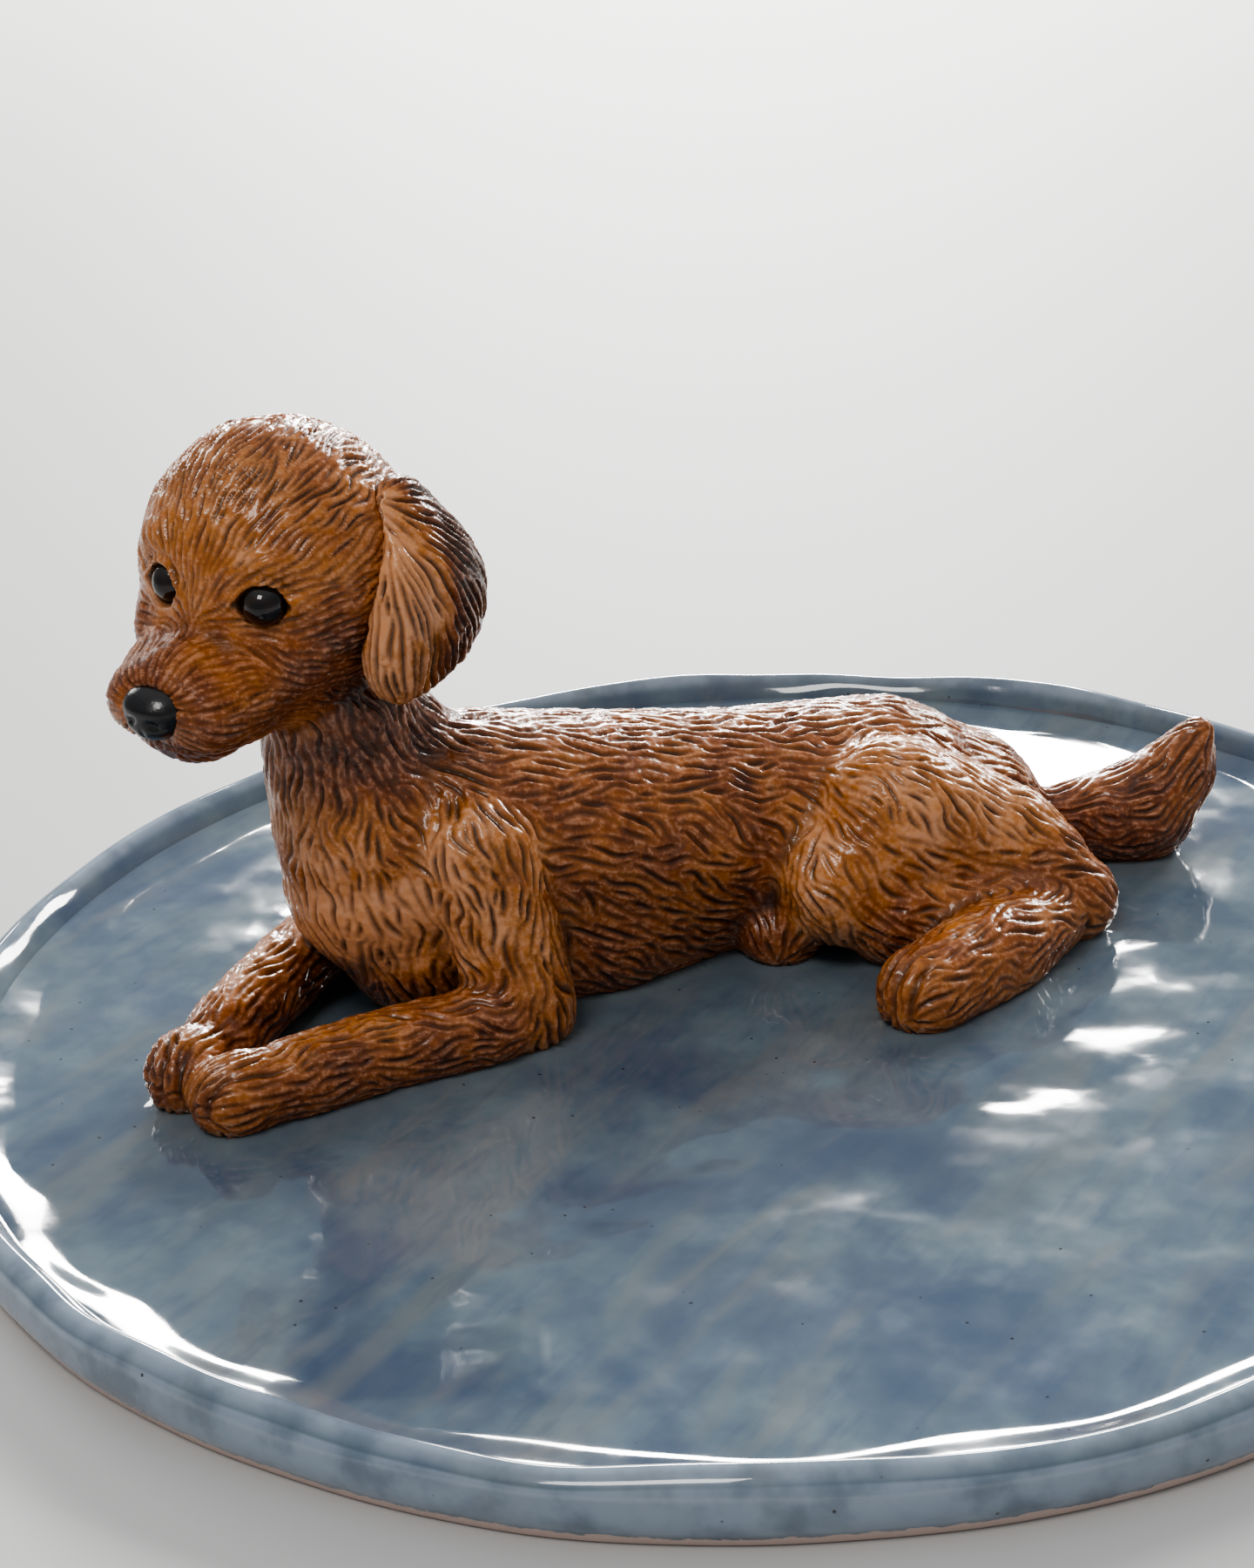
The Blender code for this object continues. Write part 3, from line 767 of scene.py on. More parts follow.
def add_stage():
    mesh = bpy.data.meshes.new("floor")
    bm = bmesh.new()
    bmesh.ops.create_grid(bm, x_segments=1, y_segments=1, size=4)
    bm.to_mesh(mesh)
    bm.free()
    floor = bpy.data.objects.new("floor", mesh)
    bpy.context.scene.collection.objects.link(floor)
    floor.data.materials.append(floor_material())


def floor_material():
    made = bpy.data.materials.new("pale_table")
    made.use_nodes = True
    shader = made.node_tree.nodes["Principled BSDF"]
    shader.inputs["Base Color"].default_value = (*TABLE_GREY, 1)
    shader.inputs["Roughness"].default_value = 0.6
    return made


def set_stops(node, stops):
    """Gives a colour ramp its stops, each a position and a colour."""
    elements = node.color_ramp.elements
    while len(elements) < len(stops):
        elements.new(0.5)
    for element, (position, colour) in zip(elements, stops):
        element.position = position
        element.color = (*colour, 1)


def add_world():
    """A soft room: dim near the horizon and bright overhead."""
    world = bpy.data.worlds.new("soft_room")
    world.use_nodes = True
    nodes, links = world.node_tree.nodes, world.node_tree.links
    split = nodes.new("ShaderNodeSeparateXYZ")
    links.new(nodes.new("ShaderNodeTexCoord").outputs["Generated"], split.inputs[0])
    colours = nodes.new("ShaderNodeValToRGB")
    stops = (
        (0.0, (0.55, 0.55, 0.55)), (0.30, (0.44, 0.45, 0.46)), (0.64, (0.56, 0.59, 0.62)),
        (0.82, (0.90, 0.93, 0.96)), (1.0, (1.1, 1.1, 1.1)),
    )
    set_stops(colours, stops)
    links.new(split.outputs["Z"], colours.inputs["Fac"])
    links.new(colours.outputs["Color"], nodes["Background"].inputs["Color"])
    nodes["Background"].inputs["Strength"].default_value = 0.68
    bpy.context.scene.world = world


WINDOW_DISTANCE = 1.4


def add_lights():
    add_world()
    # The window: three panes behind the dog, low enough to shine along its back.
    for turn, rise, watts in ((-38, 25, 18), (-2, 21, 23), (34, 21, 5)):
        way = CAMERA_AZIMUTH + math.pi + math.radians(turn)
        level = math.cos(math.radians(rise))
        place = Vector((math.sin(way) * level, -math.cos(way) * level, math.sin(math.radians(rise))))
        add_area("window", place * WINDOW_DISTANCE, (0, 0, 0.03), (0.50, 0.28), watts, (1.0, 0.99, 0.97))
    # A soft box over the viewer's left shoulder.
    add_area("soft_box", (0.42, -0.40, 0.88), (0, -0.03, 0.03), (0.36, 0.27), 3.3, (1.0, 0.97, 0.93))
    bpy.context.scene.view_settings.look = "AgX - Medium High Contrast"


def link(mesh, name):
    piece = bpy.data.objects.new(name, mesh)
    bpy.context.scene.collection.objects.link(piece)
    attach(piece, "root")
    return piece


# ---------------------------------------------------------------- pieces

def face_labels(mesh, node):
    """The CAD node that each face belongs to, with every node's faces in one patch."""
    label = np.array([node[polygon.vertices[0]] for polygon in mesh.polygons])
    pairs = faces_that_meet(mesh)
    for _ in range(8):
        patch = patches(len(label), pairs[label[pairs[:, 0]] == label[pairs[:, 1]]])
        sizes = np.bincount(patch, minlength=len(label))
        best = {}
        for index in np.unique(patch):
            owner = label[index]
            if owner not in best or sizes[index] > sizes[best[owner]]:
                best[owner] = index
        kept = np.isin(patch, list(best.values()))
        if kept.all():
            break
        for a, b in ((0, 1), (1, 0)):
            stray = ~kept[pairs[:, a]] & kept[pairs[:, b]]
            label[pairs[stray, a]] = label[pairs[stray, b]]
    return label


def faces_that_meet(mesh):
    """Pairs of faces that share an edge."""
    first = {}
    pairs = []
    for polygon in mesh.polygons:
        for key in polygon.edge_keys:
            if key in first:
                pairs.append((first.pop(key), polygon.index))
            else:
                first[key] = polygon.index
    return np.array(pairs)


def patches(count, pairs):
    """For each face, the lowest index among the faces joined to it."""
    label = np.arange(count)
    while True:
        before = label.copy()
        low = np.minimum(label[pairs[:, 0]], label[pairs[:, 1]])
        np.minimum.at(label, pairs[:, 0], low)
        np.minimum.at(label, pairs[:, 1], low)
        label = label[label]
        if (label == before).all():
            return label


ATTRIBUTES = ("groove", "ridge", "tone", "hollow", "ink", "dry")
CAP_DEPTH = 1.2 * MM


def open_loops(corners):
    """The rings of vertices round the openings of a patch of faces."""
    after = {}
    for c in corners:
        for a, b in zip(c, c[1:] + c[:1]):
            after.setdefault(a, set()).add(b)
    ways = {a: [b for b in ends if a not in after.get(b, ())] for a, ends in after.items()}
    loops = []
    for start in list(ways):
        while ways[start]:
            loop, here = [], start
            while ways[here]:
                loop.append(here)
                here = ways[here].pop()
            loops.append(loop)
    return loops


def piece_of(mesh, faces, name):
    """A closed piece made of some of a mesh's faces, with the opening round them capped from inside."""
    normals = normals_of(mesh)
    co = points_of(mesh)
    values = {key: np.empty(len(co), np.float32) for key in ATTRIBUTES}
    for key, array in values.items():
        mesh.attributes[key].data.foreach_get("value", array)
    corners = [list(mesh.polygons[i].vertices) for i in faces]
    used = np.unique(np.concatenate([np.array(c) for c in corners]))
    place = np.full(len(co), -1)
    place[used] = np.arange(len(used))
    corners = [[int(place[i]) for i in c] for c in corners]
    points = list(co[used])
    for loop in open_loops(corners):
        around = used[loop]
        points.append(co[around].mean(axis=0) - CAP_DEPTH * unit(normals[around].mean(axis=0)))
        corners += [[b, a, len(points) - 1] for a, b in zip(loop, loop[1:] + loop[:1])]
    caps = len(points) - len(used)
    made = bpy.data.meshes.new(name)
    made.from_pydata(np.array(points).tolist(), [], corners)
    for key, array in values.items():
        add_attributes(made, **{key: np.append(array[used], [array[used].mean()] * caps)})
    for polygon in made.polygons:
        polygon.use_smooth = True
    made.normals_split_custom_set_from_vertices(np.vstack([normals[used]] + [(0, 0, 1)] * caps).tolist())
    return link(made, name)


# ---------------------------------------------------------------- materials

class Paint:
    """A material and short ways to add its nodes."""

    def __init__(self, name):
        self.material = bpy.data.materials.new(name)
        self.material.use_nodes = True
        self.tree = self.material.node_tree
        self.shader = self.tree.nodes["Principled BSDF"]
        self.place = self.add("ShaderNodeTexCoord").outputs["Object"]

    def add(self, kind, **settings):
        node = self.tree.nodes.new(kind)
        for key, value in settings.items():
            setattr(node, key, value)
        return node

    def join(self, source, target):
        self.tree.links.new(source, target)

    def feed(self, node, name, value):
        """Sets an input to a number or a colour, or links it from a socket."""
        if isinstance(value, bpy.types.NodeSocket):
            self.join(value, node.inputs[name])
        else:
            node.inputs[name].default_value = value

    def attribute(self, name):
        return self.add("ShaderNodeAttribute", attribute_name=name).outputs["Fac"]

    def noise(self, size, detail=3, place=None, roughness=0.5, distortion=0.0):
        node = self.add("ShaderNodeTexNoise")
        self.feed(node, "Vector", place or self.place)
        self.feed(node, "Scale", 1 / size)
        self.feed(node, "Detail", detail)
        self.feed(node, "Roughness", roughness)
        self.feed(node, "Distortion", distortion)
        return node.outputs["Fac"]

    def math(self, operation, a, b):
        node = self.add("ShaderNodeMath", operation=operation)
        self.feed(node, 0, a)
        self.feed(node, 1, b)
        return node.outputs[0]

    def span(self, value, low, high, start=0.0, end=1.0):
        """Maps low to high onto start to end, smoothly and with limits."""
        node = self.add("ShaderNodeMapRange", interpolation_type="SMOOTHSTEP")
        self.feed(node, "Value", value)
        for key, number in (("From Min", low), ("From Max", high), ("To Min", start), ("To Max", end)):
            self.feed(node, key, number)
        return node.outputs["Result"]

    def ramp(self, value, *stops):
        node = self.add("ShaderNodeValToRGB")
        set_stops(node, stops)
        self.feed(node, "Fac", value)
        return node.outputs["Color"]

    def mix(self, share, a, b):
        node = self.add("ShaderNodeMix", data_type="RGBA")
        self.feed(node, 0, share)
        for index, value in ((6, a), (7, b)):
            self.feed(node, index, value if isinstance(value, bpy.types.NodeSocket) else (*value, 1))
        return node.outputs[2]

    def bump(self, height, strength, distance, under=None):
        node = self.add("ShaderNodeBump")
        self.feed(node, "Height", height)
        self.feed(node, "Strength", strength)
        self.feed(node, "Distance", distance)
        if under is not None:
            self.join(under, node.inputs["Normal"])
        return node.outputs["Normal"]

    def finish(self, **sockets):
        for name, value in sockets.items():
            self.feed(self.shader, name.replace("_", " "), value)
        return self.material


UMBER = (0.052, 0.012, 0.002)
SIENNA = (0.165, 0.038, 0.004)
RUST = (0.310, 0.088, 0.010)
ORANGE = (0.460, 0.158, 0.026)
OCHRE = (0.680, 0.300, 0.128)
# The dark of the oxide wash in the cuts, also used as painted shade in the creases.
WASH_AND_CREASE_SHADE = (0.020, 0.006, 0.002)
# Pale clay on the ridges: partly where the stain is rubbed off, and partly painted highlight.
PINK_CLAY_AND_HIGHLIGHT = (0.60, 0.31, 0.20)


def fur_paint():
    """Oxide stains under a thin clear glaze: dark where they settled in the cuts, and rubbed pale on the
    ridges, partly as painted highlight; with painted shade darkening the creases.
    """
    paint = Paint("stained_fur")
    blotch = paint.noise(4.5 * MM, 4)
    speck = paint.noise(0.9 * MM, 3, roughness=0.65)
    tone = paint.math("ADD", paint.attribute("tone"), paint.span(blotch, 0.3, 0.7, -0.14, 0.14))
    tone = paint.math("ADD", tone, paint.span(speck, 0.3, 0.7, -0.10, 0.10))
    colour = paint.ramp(tone, (0.0, UMBER), (0.25, SIENNA), (0.5, RUST), (0.75, ORANGE), (1.0, OCHRE))
    olive = paint.span(paint.noise(2.2 * MM, 3, distortion=0.6), 0.58, 0.76, 0.0, 0.35)
    colour = paint.mix(olive, colour, (0.095, 0.048, 0.010))
    # Pale pink on the ridges: partly rubbed-off stain, and partly a painted highlight.
    wear_and_highlight = paint.math("MULTIPLY", paint.attribute("ridge"), paint.span(speck, 0.42, 0.62, 0.08, 0.60))
    colour = paint.mix(wear_and_highlight, colour, PINK_CLAY_AND_HIGHLIGHT)
    dark = paint.math("MULTIPLY", paint.attribute("groove"), paint.span(blotch, 0.3, 0.7, 0.78, 1.0))
    dark = paint.math("MAXIMUM", dark, paint.attribute("ink"))
    # Painted shade: the fur darkens in the creases of the form, where shade falls.
    dark = paint.math("MAXIMUM", dark, paint.span(paint.attribute("hollow"), 0.10, 0.85, 0.0, 0.85))
    colour = paint.mix(dark, colour, WASH_AND_CREASE_SHADE)
    grain = paint.noise(0.30 * MM, 4, roughness=0.6)
    dry = paint.attribute("dry")
    rough = paint.math("ADD", paint.span(blotch, 0.3, 0.7, 0.22, 0.36), paint.math("MULTIPLY", dark, 0.20))
    rough = paint.math("ADD", rough, paint.math("MULTIPLY", dry, 0.25))
    return paint.finish(
        Base_Color=colour,
        Roughness=rough,
        Normal=paint.bump(grain, 0.35, 0.06 * MM),
        Specular_IOR_Level=0.28,
        Coat_Weight=paint.math("SUBTRACT", 0.5, paint.math("MULTIPLY", dry, 0.4)),
        Coat_Roughness=0.12,
    )


def gloss_paint(name, black, brown, roughness, grain_size, strength):
    """Thick black glaze, brown where it is thin."""
    paint = Paint(name)
    cloud = paint.noise(1.6 * MM, 3)
    thin = paint.math("MULTIPLY", paint.attribute("thin"), paint.span(cloud, 0.35, 0.65, 0.5, 1.0))
    grain = paint.noise(grain_size, 3)
    return paint.finish(
        Base_Color=paint.mix(thin, black, brown),
        Roughness=paint.span(cloud, 0.3, 0.7, roughness, roughness * 1.8),
        Normal=paint.bump(grain, strength, 0.04 * MM),
        Specular_IOR_Level=0.60,
    )


SLATE = (0.084, 0.122, 0.164)
INDIGO = (0.050, 0.076, 0.136)
CREAM = (0.176, 0.186, 0.178)
PALE_BLUE = (0.140, 0.188, 0.222)
# Paler blue: glaze running thin on the crest, and painted light on the outer wall.
THIN_GLAZE_AND_WALL_LIGHT = (0.290, 0.350, 0.430)
BARE_CLAY = (0.60, 0.47, 0.42)
BRUSH_TURN = math.radians(-52)


def glaze_paint():
    """Brushed blue glaze: indigo pools and cream streaks on slate, pale where it runs thin on the crest, with
    painted light paling the outer wall, and bare at the foot.
    """
    paint = Paint("blue_glaze")
    turned = paint.add("ShaderNodeMapping", vector_type="TEXTURE")
    paint.feed(turned, "Vector", paint.place)
    paint.feed(turned, "Rotation", (0, 0, BRUSH_TURN))
    paint.feed(turned, "Scale", (4.5, 1.0, 1.0))
    brushed = turned.outputs["Vector"]
    streak = paint.noise(7.5 * MM, 3, place=brushed, distortion=0.8)
    fine = paint.noise(2.0 * MM, 4, place=brushed)
    pool = paint.noise(22 * MM, 4, distortion=0.5)
    small = paint.noise(6 * MM, 4)
    colour = paint.ramp(small, (0.30, SLATE), (0.70, PALE_BLUE))
    colour = paint.mix(paint.span(pool, 0.46, 0.68, 0.0, 0.70), colour, INDIGO)
    colour = paint.mix(paint.span(streak, 0.44, 0.76, 0.0, 0.48), colour, CREAM)
    colour = paint.mix(paint.span(fine, 0.50, 0.78, 0.0, 0.35), colour, INDIGO)
    colour = paint.mix(paint.math("MULTIPLY", paint.attribute("halo"), 0.45), colour, CREAM)
    # Paler blue on the crest, where the glaze runs thin, and on the whole outer wall, where it is painted
    # light.
    thin = paint.math("MULTIPLY", paint.attribute("crest"), paint.span(small, 0.35, 0.6, 0.30, 0.80))
    colour = paint.mix(thin, colour, THIN_GLAZE_AND_WALL_LIGHT)
    specks = paint.add("ShaderNodeTexVoronoi", feature="F1")
    paint.feed(specks, "Vector", paint.place)
    paint.feed(specks, "Scale", 1 / (2.4 * MM))
    dots = paint.span(specks.outputs["Distance"], 0.055, 0.085, 1.0, 0.0)
    dots = paint.math("MULTIPLY", dots, paint.span(paint.noise(5 * MM, 2), 0.52, 0.60, 0.0, 0.85))
    colour = paint.mix(dots, colour, (0.020, 0.018, 0.020))
    foot = paint.math("ADD", paint.attribute("foot"), paint.span(fine, 0.3, 0.7, -0.18, 0.18))
    bare = paint.span(foot, 0.45, 0.6)
    colour = paint.mix(bare, colour, BARE_CLAY)
    peel = paint.noise(2.6 * MM, 3)
    under = paint.bump(paint.noise(9 * MM, 2), 0.30, 0.35 * MM)
    rough = paint.math("ADD", paint.span(small, 0.3, 0.7, 0.05, 0.12), paint.math("MULTIPLY", bare, 0.55))
    return paint.finish(
        Base_Color=colour,
        Roughness=rough,
        Normal=paint.bump(peel, 0.22, 0.05 * MM, under),
        Coat_Weight=paint.math("SUBTRACT", 0.5, paint.math("MULTIPLY", bare, 0.5)),
        Coat_Roughness=0.03,
    )


# ---------------------------------------------------------------- eyes and nose

def eye_piece(name, paint):
    """A glazed bead: a ball a little domed where the cornea is, and flat at its back."""
    centre, side, outward, up = eye_axes(name)
    low, high = node_box(name)
    radius = (high - low).mean() / 2
    bm = bmesh.new()
    bmesh.ops.create_uvsphere(bm, u_segments=48, v_segments=32, radius=1)
    thin = []
    for vert in bm.verts:
        x, y, z = vert.co
        face = max(z, 0.0)
        stretch = radius * EYE_SHARE * (1 + 0.05 * math.exp(-((1 - face) / 0.12)))
        depth = z if z > -0.6 else -0.6 + 0.3 * (z + 0.6)
        vert.co = Vector(centre + stretch * (x * side + y * up + depth * outward))
        ring = math.hypot(x, y)
        thin.append(bell(ring - 0.55, 0.16) if z > 0 else 0.0)
    mesh = bpy.data.meshes.new(name + "_bead")
    bmesh.ops.recalc_face_normals(bm, faces=bm.faces)
    bm.to_mesh(mesh)
    bm.free()
    add_attributes(mesh, thin=thin)
    return dressed(link(mesh, name + "_bead"), paint, "eye_glaze", name)


def nose_piece(paint):
    """A rounded wedge: a flat top, two comma nostrils and a groove between them."""
    low, high = node_box("nose")
    centre = in_head((low + high) / 2)
    bm = bmesh.new()
    bmesh.ops.create_icosphere(bm, subdivisions=5, radius=1)
    thin = []
    for vert in bm.verts:
        x, y, z = vert.co
        wide = 3.35 * (1 + 0.10 * z - 0.16 * max(-z, 0) ** 2)
        squared = Vector((math.copysign(abs(x) ** 0.88, x), y, math.copysign(abs(z) ** 0.86, z)))
        pit = 0.0
        for sign in (1, -1):
            dx = (squared.x - sign * 0.42) / 0.21
            dz = (squared.z + 0.16 + 0.25 * (abs(squared.x) - 0.42)) / 0.17
            pit = max(pit, math.exp(-(dx * dx + dz * dz)))
            slit = math.exp(-(((squared.x - sign * 0.66) / 0.20) ** 2 + ((squared.z + 0.26) / 0.07) ** 2))
            pit = max(pit, 0.6 * slit)
        groove = math.exp(-((squared.x / 0.07) ** 2)) * max(0.0, min(1.0, -2.2 * z))
        shelf = 0.22 * math.exp(-(((squared.z - 0.34) / 0.22) ** 2)) * max(-y, 0)
        press = (0.62 * pit + 0.20 * groove) * max(-y, 0) - shelf
        place = (squared.x * wide * MM, (squared.y * 2.5 + press) * MM, squared.z * 2.75 * MM)
        vert.co = Vector(from_head(*(centre + np.array(place))))
        thin.append(max(0.0, min(1.0, 0.8 * (shelf - 0.1) - pit)))
    mesh = bpy.data.meshes.new("nose_glazed")
    bmesh.ops.recalc_face_normals(bm, faces=bm.faces)
    bm.to_mesh(mesh)
    bm.free()
    add_attributes(mesh, thin=thin)
    return dressed(link(mesh, "nose_glazed"), paint, "black_glaze", "nose")


def dressed(piece, paint, slot, *nodes):
    """Gives a piece its material, and hides the CAD nodes that it stands for. The slot is not used."""
    for polygon in piece.data.polygons:
        polygon.use_smooth = True
    piece.data.materials.clear()
    piece.data.materials.append(paint)
    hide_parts(*nodes)
    return piece


# ---------------------------------------------------------------- the dish

TURNS = 720
FLOOR_RINGS = 125
RIPPLE = 0.10 * MM
MENISCUS = 0.50 * MM
BARE_FOOT = 1.3 * MM
FILLET = 0.95 * MM
CREST_ROUND = 2.3 * MM
CREST_STEPS = 14


# The foot's outline, in millimetres: how far in from the wall, and how high.
FOOT_STEPS = ((0.6, 1.2), (0.9, 0.7), (1.1, 0.25), (1.5, 0.02), (3.0, 0))


def rim_shape():
    """The dish's outline as (radius, height): its floor, its rim from there to the foot, and their split."""
    low, high = node_box("dish_rim")
    slab_low, slab_high = node_box("dish_slab")
    outer = (high[0] - low[0]) / 2 - 0.5 * MM
    floor, crest = slab_high[2], high[2]
    split = (slab_high[0] - slab_low[0]) / 2
    inner = [(split * i / FLOOR_RINGS, floor) for i in range(1, FLOOR_RINGS + 1)]
    over = []
    for i in range(1, CREST_STEPS + 1):
        t = i / CREST_STEPS
        height = crest * (1 - (1 - t) ** 1.8) + floor * (1 - t) ** 1.8
        over.append((split + (outer - CREST_ROUND - split) * t, height))
    for i in range(1, CREST_STEPS + 1):
        t = math.radians(90 - 90 * i / CREST_STEPS)
        height = crest - CREST_ROUND * (1 - math.sin(t))
        over.append((outer - CREST_ROUND + CREST_ROUND * math.cos(t), height))
    wall = [(outer + out * MM, crest * share) for out, share in ((0.1, 0.52), (0.05, 0.40), (-0.2, 0.28))]
    foot = [(outer - inset * MM, height * MM) for inset, height in FOOT_STEPS]
    return inner, over + wall + foot, split


def wobble(angle, count, lowest, highest, seed):
    """A wavy value round the dish, of about -1 to 1, with between lowest and highest waves in a turn."""
    rng = np.random.default_rng(seed)
    total = np.zeros_like(angle)
    for _ in range(count):
        total += np.cos(rng.integers(lowest, highest + 1) * angle + rng.uniform(0, 2 * math.pi))
    return total / math.sqrt(count / 2) / 1.6


def shaped(radius, height, angle, split, outer):
    """Where a point of the dish lies once the maker's fingers have pinched it."""
    top = node_box("dish_rim")[1][2]
    oval = 0.45 * MM * np.cos(2 * angle + 0.6)
    near_rim = ramp(radius, split - 9 * MM, split + 2 * MM)
    pinch = 0.12 * MM * wobble(angle, 7, 22, 36, SEED + 31) + 0.30 * MM * wobble(angle, 5, 5, 14, SEED + 32)
    lift = 0.12 * MM * wobble(angle, 7, 20, 34, SEED + 33) + 0.26 * MM * wobble(angle, 5, 4, 12, SEED + 34)
    upper = ramp(height, 0.45 * top, top)
    edge = split - 4.8 * MM + 1.3 * MM * wobble(angle, 6, 12, 26, SEED + 35)
    fillet = FILLET * ramp(radius, edge, split + 0.4 * MM)
    is_floor = (radius <= split + 1e-9) & (height > 1 * MM)
    new_radius = radius + oval * radius / outer + pinch * near_rim * (0.35 + 0.65 * upper)
    past = np.clip((radius - split) / (outer - 3 * MM - split), 0, 1)
    join = FILLET * (1 - past) ** 1.5 * (radius > split) * (height > 3 * MM) * (radius < outer - CREST_ROUND)
    new_height = height + np.where(is_floor, fillet, join) + lift * upper * near_rim
    return new_radius, new_height


def glaze_surface(x, y, contact):
    """How far the glaze stands above the flat floor: brush ripples, and a lip where it climbs the dog."""
    points = np.stack([x, y, 0 * x], axis=1)
    ripple = RIPPLE * waves(points, 15 * MM, SEED + 41, 20)
    ripple += 0.25 * RIPPLE * waves(points, 6.5 * MM, SEED + 42, 20)
    distance = np.array([contact.find((a, b, 0))[2] for a, b in zip(x, y)])
    return ripple * mm_ramp(distance, 0, 6) + MENISCUS * np.exp(-distance / (0.8 * MM)), distance


def contact_tree(meshes):
    """The places where the dog meets the dish, laid flat."""
    floor = node_box("dish_slab")[1][2]
    places = np.vstack([points_of(mesh) for mesh in meshes])
    places = places[places[:, 2] < floor + 0.7 * MM]
    tree = kdtree.KDTree(len(places))
    for i, (x, y, _) in enumerate(places):
        tree.insert((x, y, 0), i)
    tree.balance()
    return tree


def ring_mesh(name, outline, split, outer, contact, closed_middle):
    """A turned and pinched solid from an outline that runs from its top over to its underside."""
    rings = np.array(outline)
    angle = np.arange(TURNS) * 2 * math.pi / TURNS
    radius = np.repeat(rings[:, 0], TURNS)
    height = np.repeat(rings[:, 1], TURNS)
    turn = np.tile(angle, len(rings))
    new_radius, new_height = shaped(radius, height, turn, split, outer)
    x, y = new_radius * np.cos(turn), new_radius * np.sin(turn)
    floor = node_box("dish_slab")[1][2]
    upper = (height > floor - 0.01 * MM) & (radius <= split + 1e-9)
    halo = np.zeros(len(x))
    lift, distance = glaze_surface(x[upper], y[upper], contact)
    new_height[upper] += lift * (1 - ramp(radius[upper], split - 12 * MM, split))
    halo[upper] = np.exp(-distance / (2.2 * MM))
    points = np.stack([x, y, new_height], axis=1).tolist()
    faces = []
    for ring in range(len(rings) - 1):
        for i in range(TURNS):
            j = (i + 1) % TURNS
            a, b = ring * TURNS, (ring + 1) * TURNS
            faces.append((a + i, b + i, b + j, a + j))
    last = (len(rings) - 1) * TURNS
    if closed_middle:
        points += [[0, 0, floor], [0, 0, 0]]
        top, bottom = len(points) - 2, len(points) - 1
        faces += [(top, i, (i + 1) % TURNS) for i in range(TURNS)]
        faces += [(last + i, bottom, last + (i + 1) % TURNS) for i in range(TURNS)]
    else:
        faces += [(last + i, i, (i + 1) % TURNS, last + (i + 1) % TURNS) for i in range(TURNS)]
    mesh = bpy.data.meshes.new(name)
    mesh.from_pydata(points, [], faces)
    extra = np.zeros(len(points) - len(x))
    crest_height = node_box("dish_rim")[1][2]
    crest = ramp(new_height, crest_height - 1.3 * MM, crest_height) * (radius > split)
    # The whole outer wall is marked too: there the paler blue is painted light on the wall.
    crest = np.maximum(crest, radius > outer - 0.6 * MM)
    foot = 1 - ramp(new_height, BARE_FOOT - 0.9 * MM, BARE_FOOT + 0.9 * MM)
    for key, array in (("halo", halo), ("crest", crest), ("foot", foot)):
        add_attributes(mesh, **{key: np.append(array, extra)})
    return mesh


def sharpen(mesh, ring):
    """Keeps the shading crisp along one ring, where the two pieces of the dish meet."""
    low, high = ring * TURNS, (ring + 1) * TURNS
    for edge in mesh.edges:
        a, b = edge.vertices
        if low <= a < high and low <= b < high:
            edge.use_edge_sharp = True


def build_dish(paint, contact):
    inner, over, split = rim_shape()
    outer = over[2 * CREST_STEPS][0]
    under = [(split, 0.0), (split / 2, 0.0), (2 * MM, 0.0)]
    slab = ring_mesh("dish_floor_glazed", inner + under, split, outer, contact, True)
    sharpen(slab, FLOOR_RINGS - 1)
    sharpen(slab, FLOOR_RINGS)
    dressed(link(slab, "dish_floor_glazed"), paint, "blue_glaze", "dish_slab")
    start = split + 0.02 * MM
    rim_outline = [(start, inner[-1][1])] + over + [(start, 0.0)]
    rim = ring_mesh("dish_rim_glazed", rim_outline, split, outer, contact, False)
    sharpen(rim, 0)
    sharpen(rim, len(over) + 1)
    dressed(link(rim, "dish_rim_glazed"), paint, "blue_glaze_rim", "dish_rim")


# ---------------------------------------------------------------- the dog

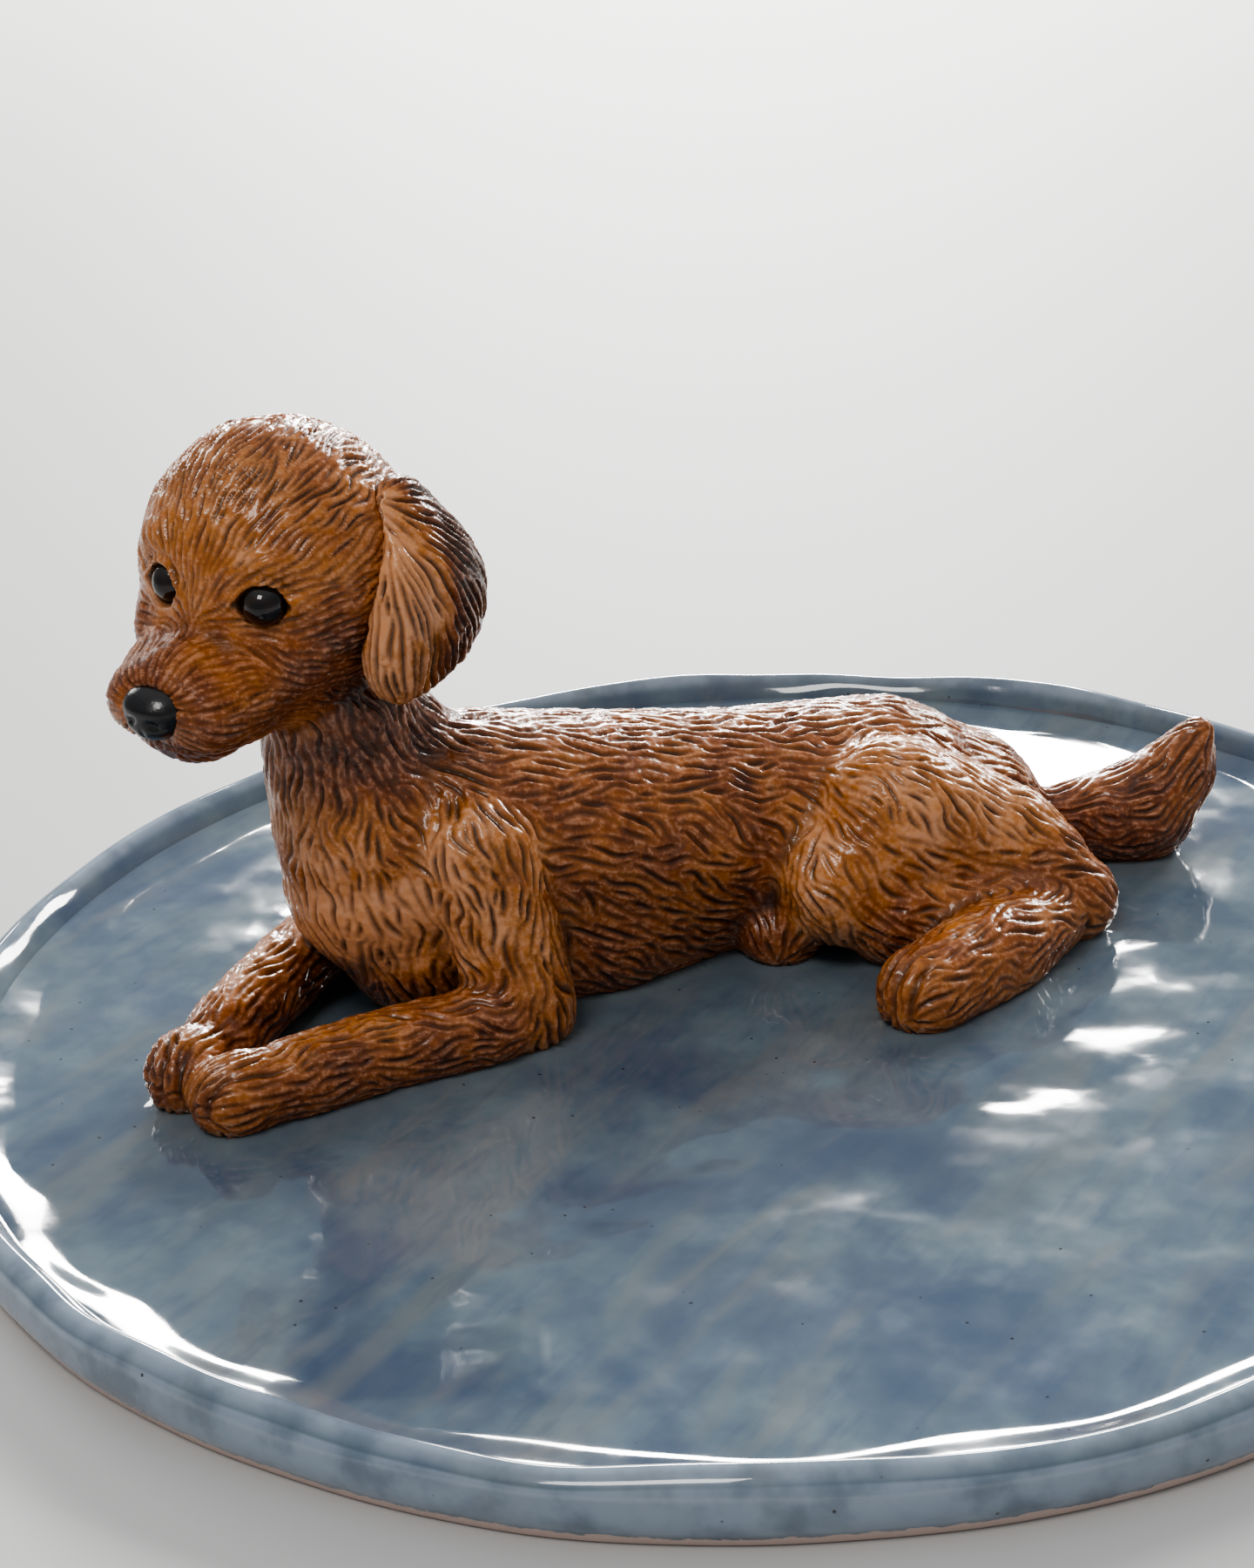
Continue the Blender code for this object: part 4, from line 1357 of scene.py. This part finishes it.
SLOTS = {
    "head": "pale_fur", "muzzle": "pale_fur",
    "chin": "dark_fur", "tail": "dark_fur", "hind_foot_left": "dark_fur", "shank_left": "dark_fur",
    "fore_paw_left": "paw_fur", "fore_paw_right": "paw_fur", "hind_paw_right": "paw_fur",
}


BODY_TRIES = 60000
EAR_TRIES = 12000
NOSE_CLEARING = 3.4 * MM  # no fur is cut this near to the nose's middle


def build_body(paint):
    names = BODY_NODES + FACE_NODES
    form = dog_form()
    eye_ink, clear = press_eyes(form)
    ink = np.maximum(eye_ink, press_mouth(form))
    coat = Coat(form, names, SEED)
    ink = np.maximum(ink, press_toes(form, coat.node, names))
    coat.co, coat.normals = points_of(form), normals_of(form)
    hollow, tone, dry = hollows(form), stain_and_painted_light(coat), dry_glaze(coat)
    clear |= np.linalg.norm(coat.co - node_centre("nose"), axis=1) < NOSE_CLEARING
    cut_fur(coat, BODY_TRIES, clear)
    add_attributes(form, tone=tone, dry=dry, hollow=hollow, ink=ink)
    label = face_labels(form, coat.node)
    for index, name in enumerate(names):
        piece = piece_of(form, np.flatnonzero(label == index), name + "_fur")
        dressed(piece, paint, SLOTS.get(name, "brown_fur"), name)
    return form


def build_ears(paint):
    for offset, name in enumerate(EARS):
        form = ear_form(name)
        coat = Coat(form, (name,), SEED + 50 + offset, EAR_WANDER)
        cut_fur(coat, EAR_TRIES)
        none = np.zeros(len(coat.co))
        add_attributes(form, tone=stain_and_painted_light(coat), hollow=hollows(form), ink=none, dry=none)
        form.name = name + "_fur"
        dressed(link(form, name + "_fur"), paint, "brown_fur", name)


def build():
    fur = fur_paint()
    form = build_body(fur)
    build_ears(fur)
    bead = gloss_paint("eye_bead_glaze", (0.003, 0.0025, 0.0025), (0.022, 0.009, 0.005), 0.03, 1.2 * MM, 0.05)
    for name in ("eye_left", "eye_right"):
        eye_piece(name, bead)
    nose_piece(gloss_paint("nose_glaze", (0.004, 0.0035, 0.004), (0.03, 0.024, 0.024), 0.18, 0.35 * MM, 0.6))
    build_dish(glaze_paint(), contact_tree([form]))


add_camera()
add_stage()
add_lights()
build()
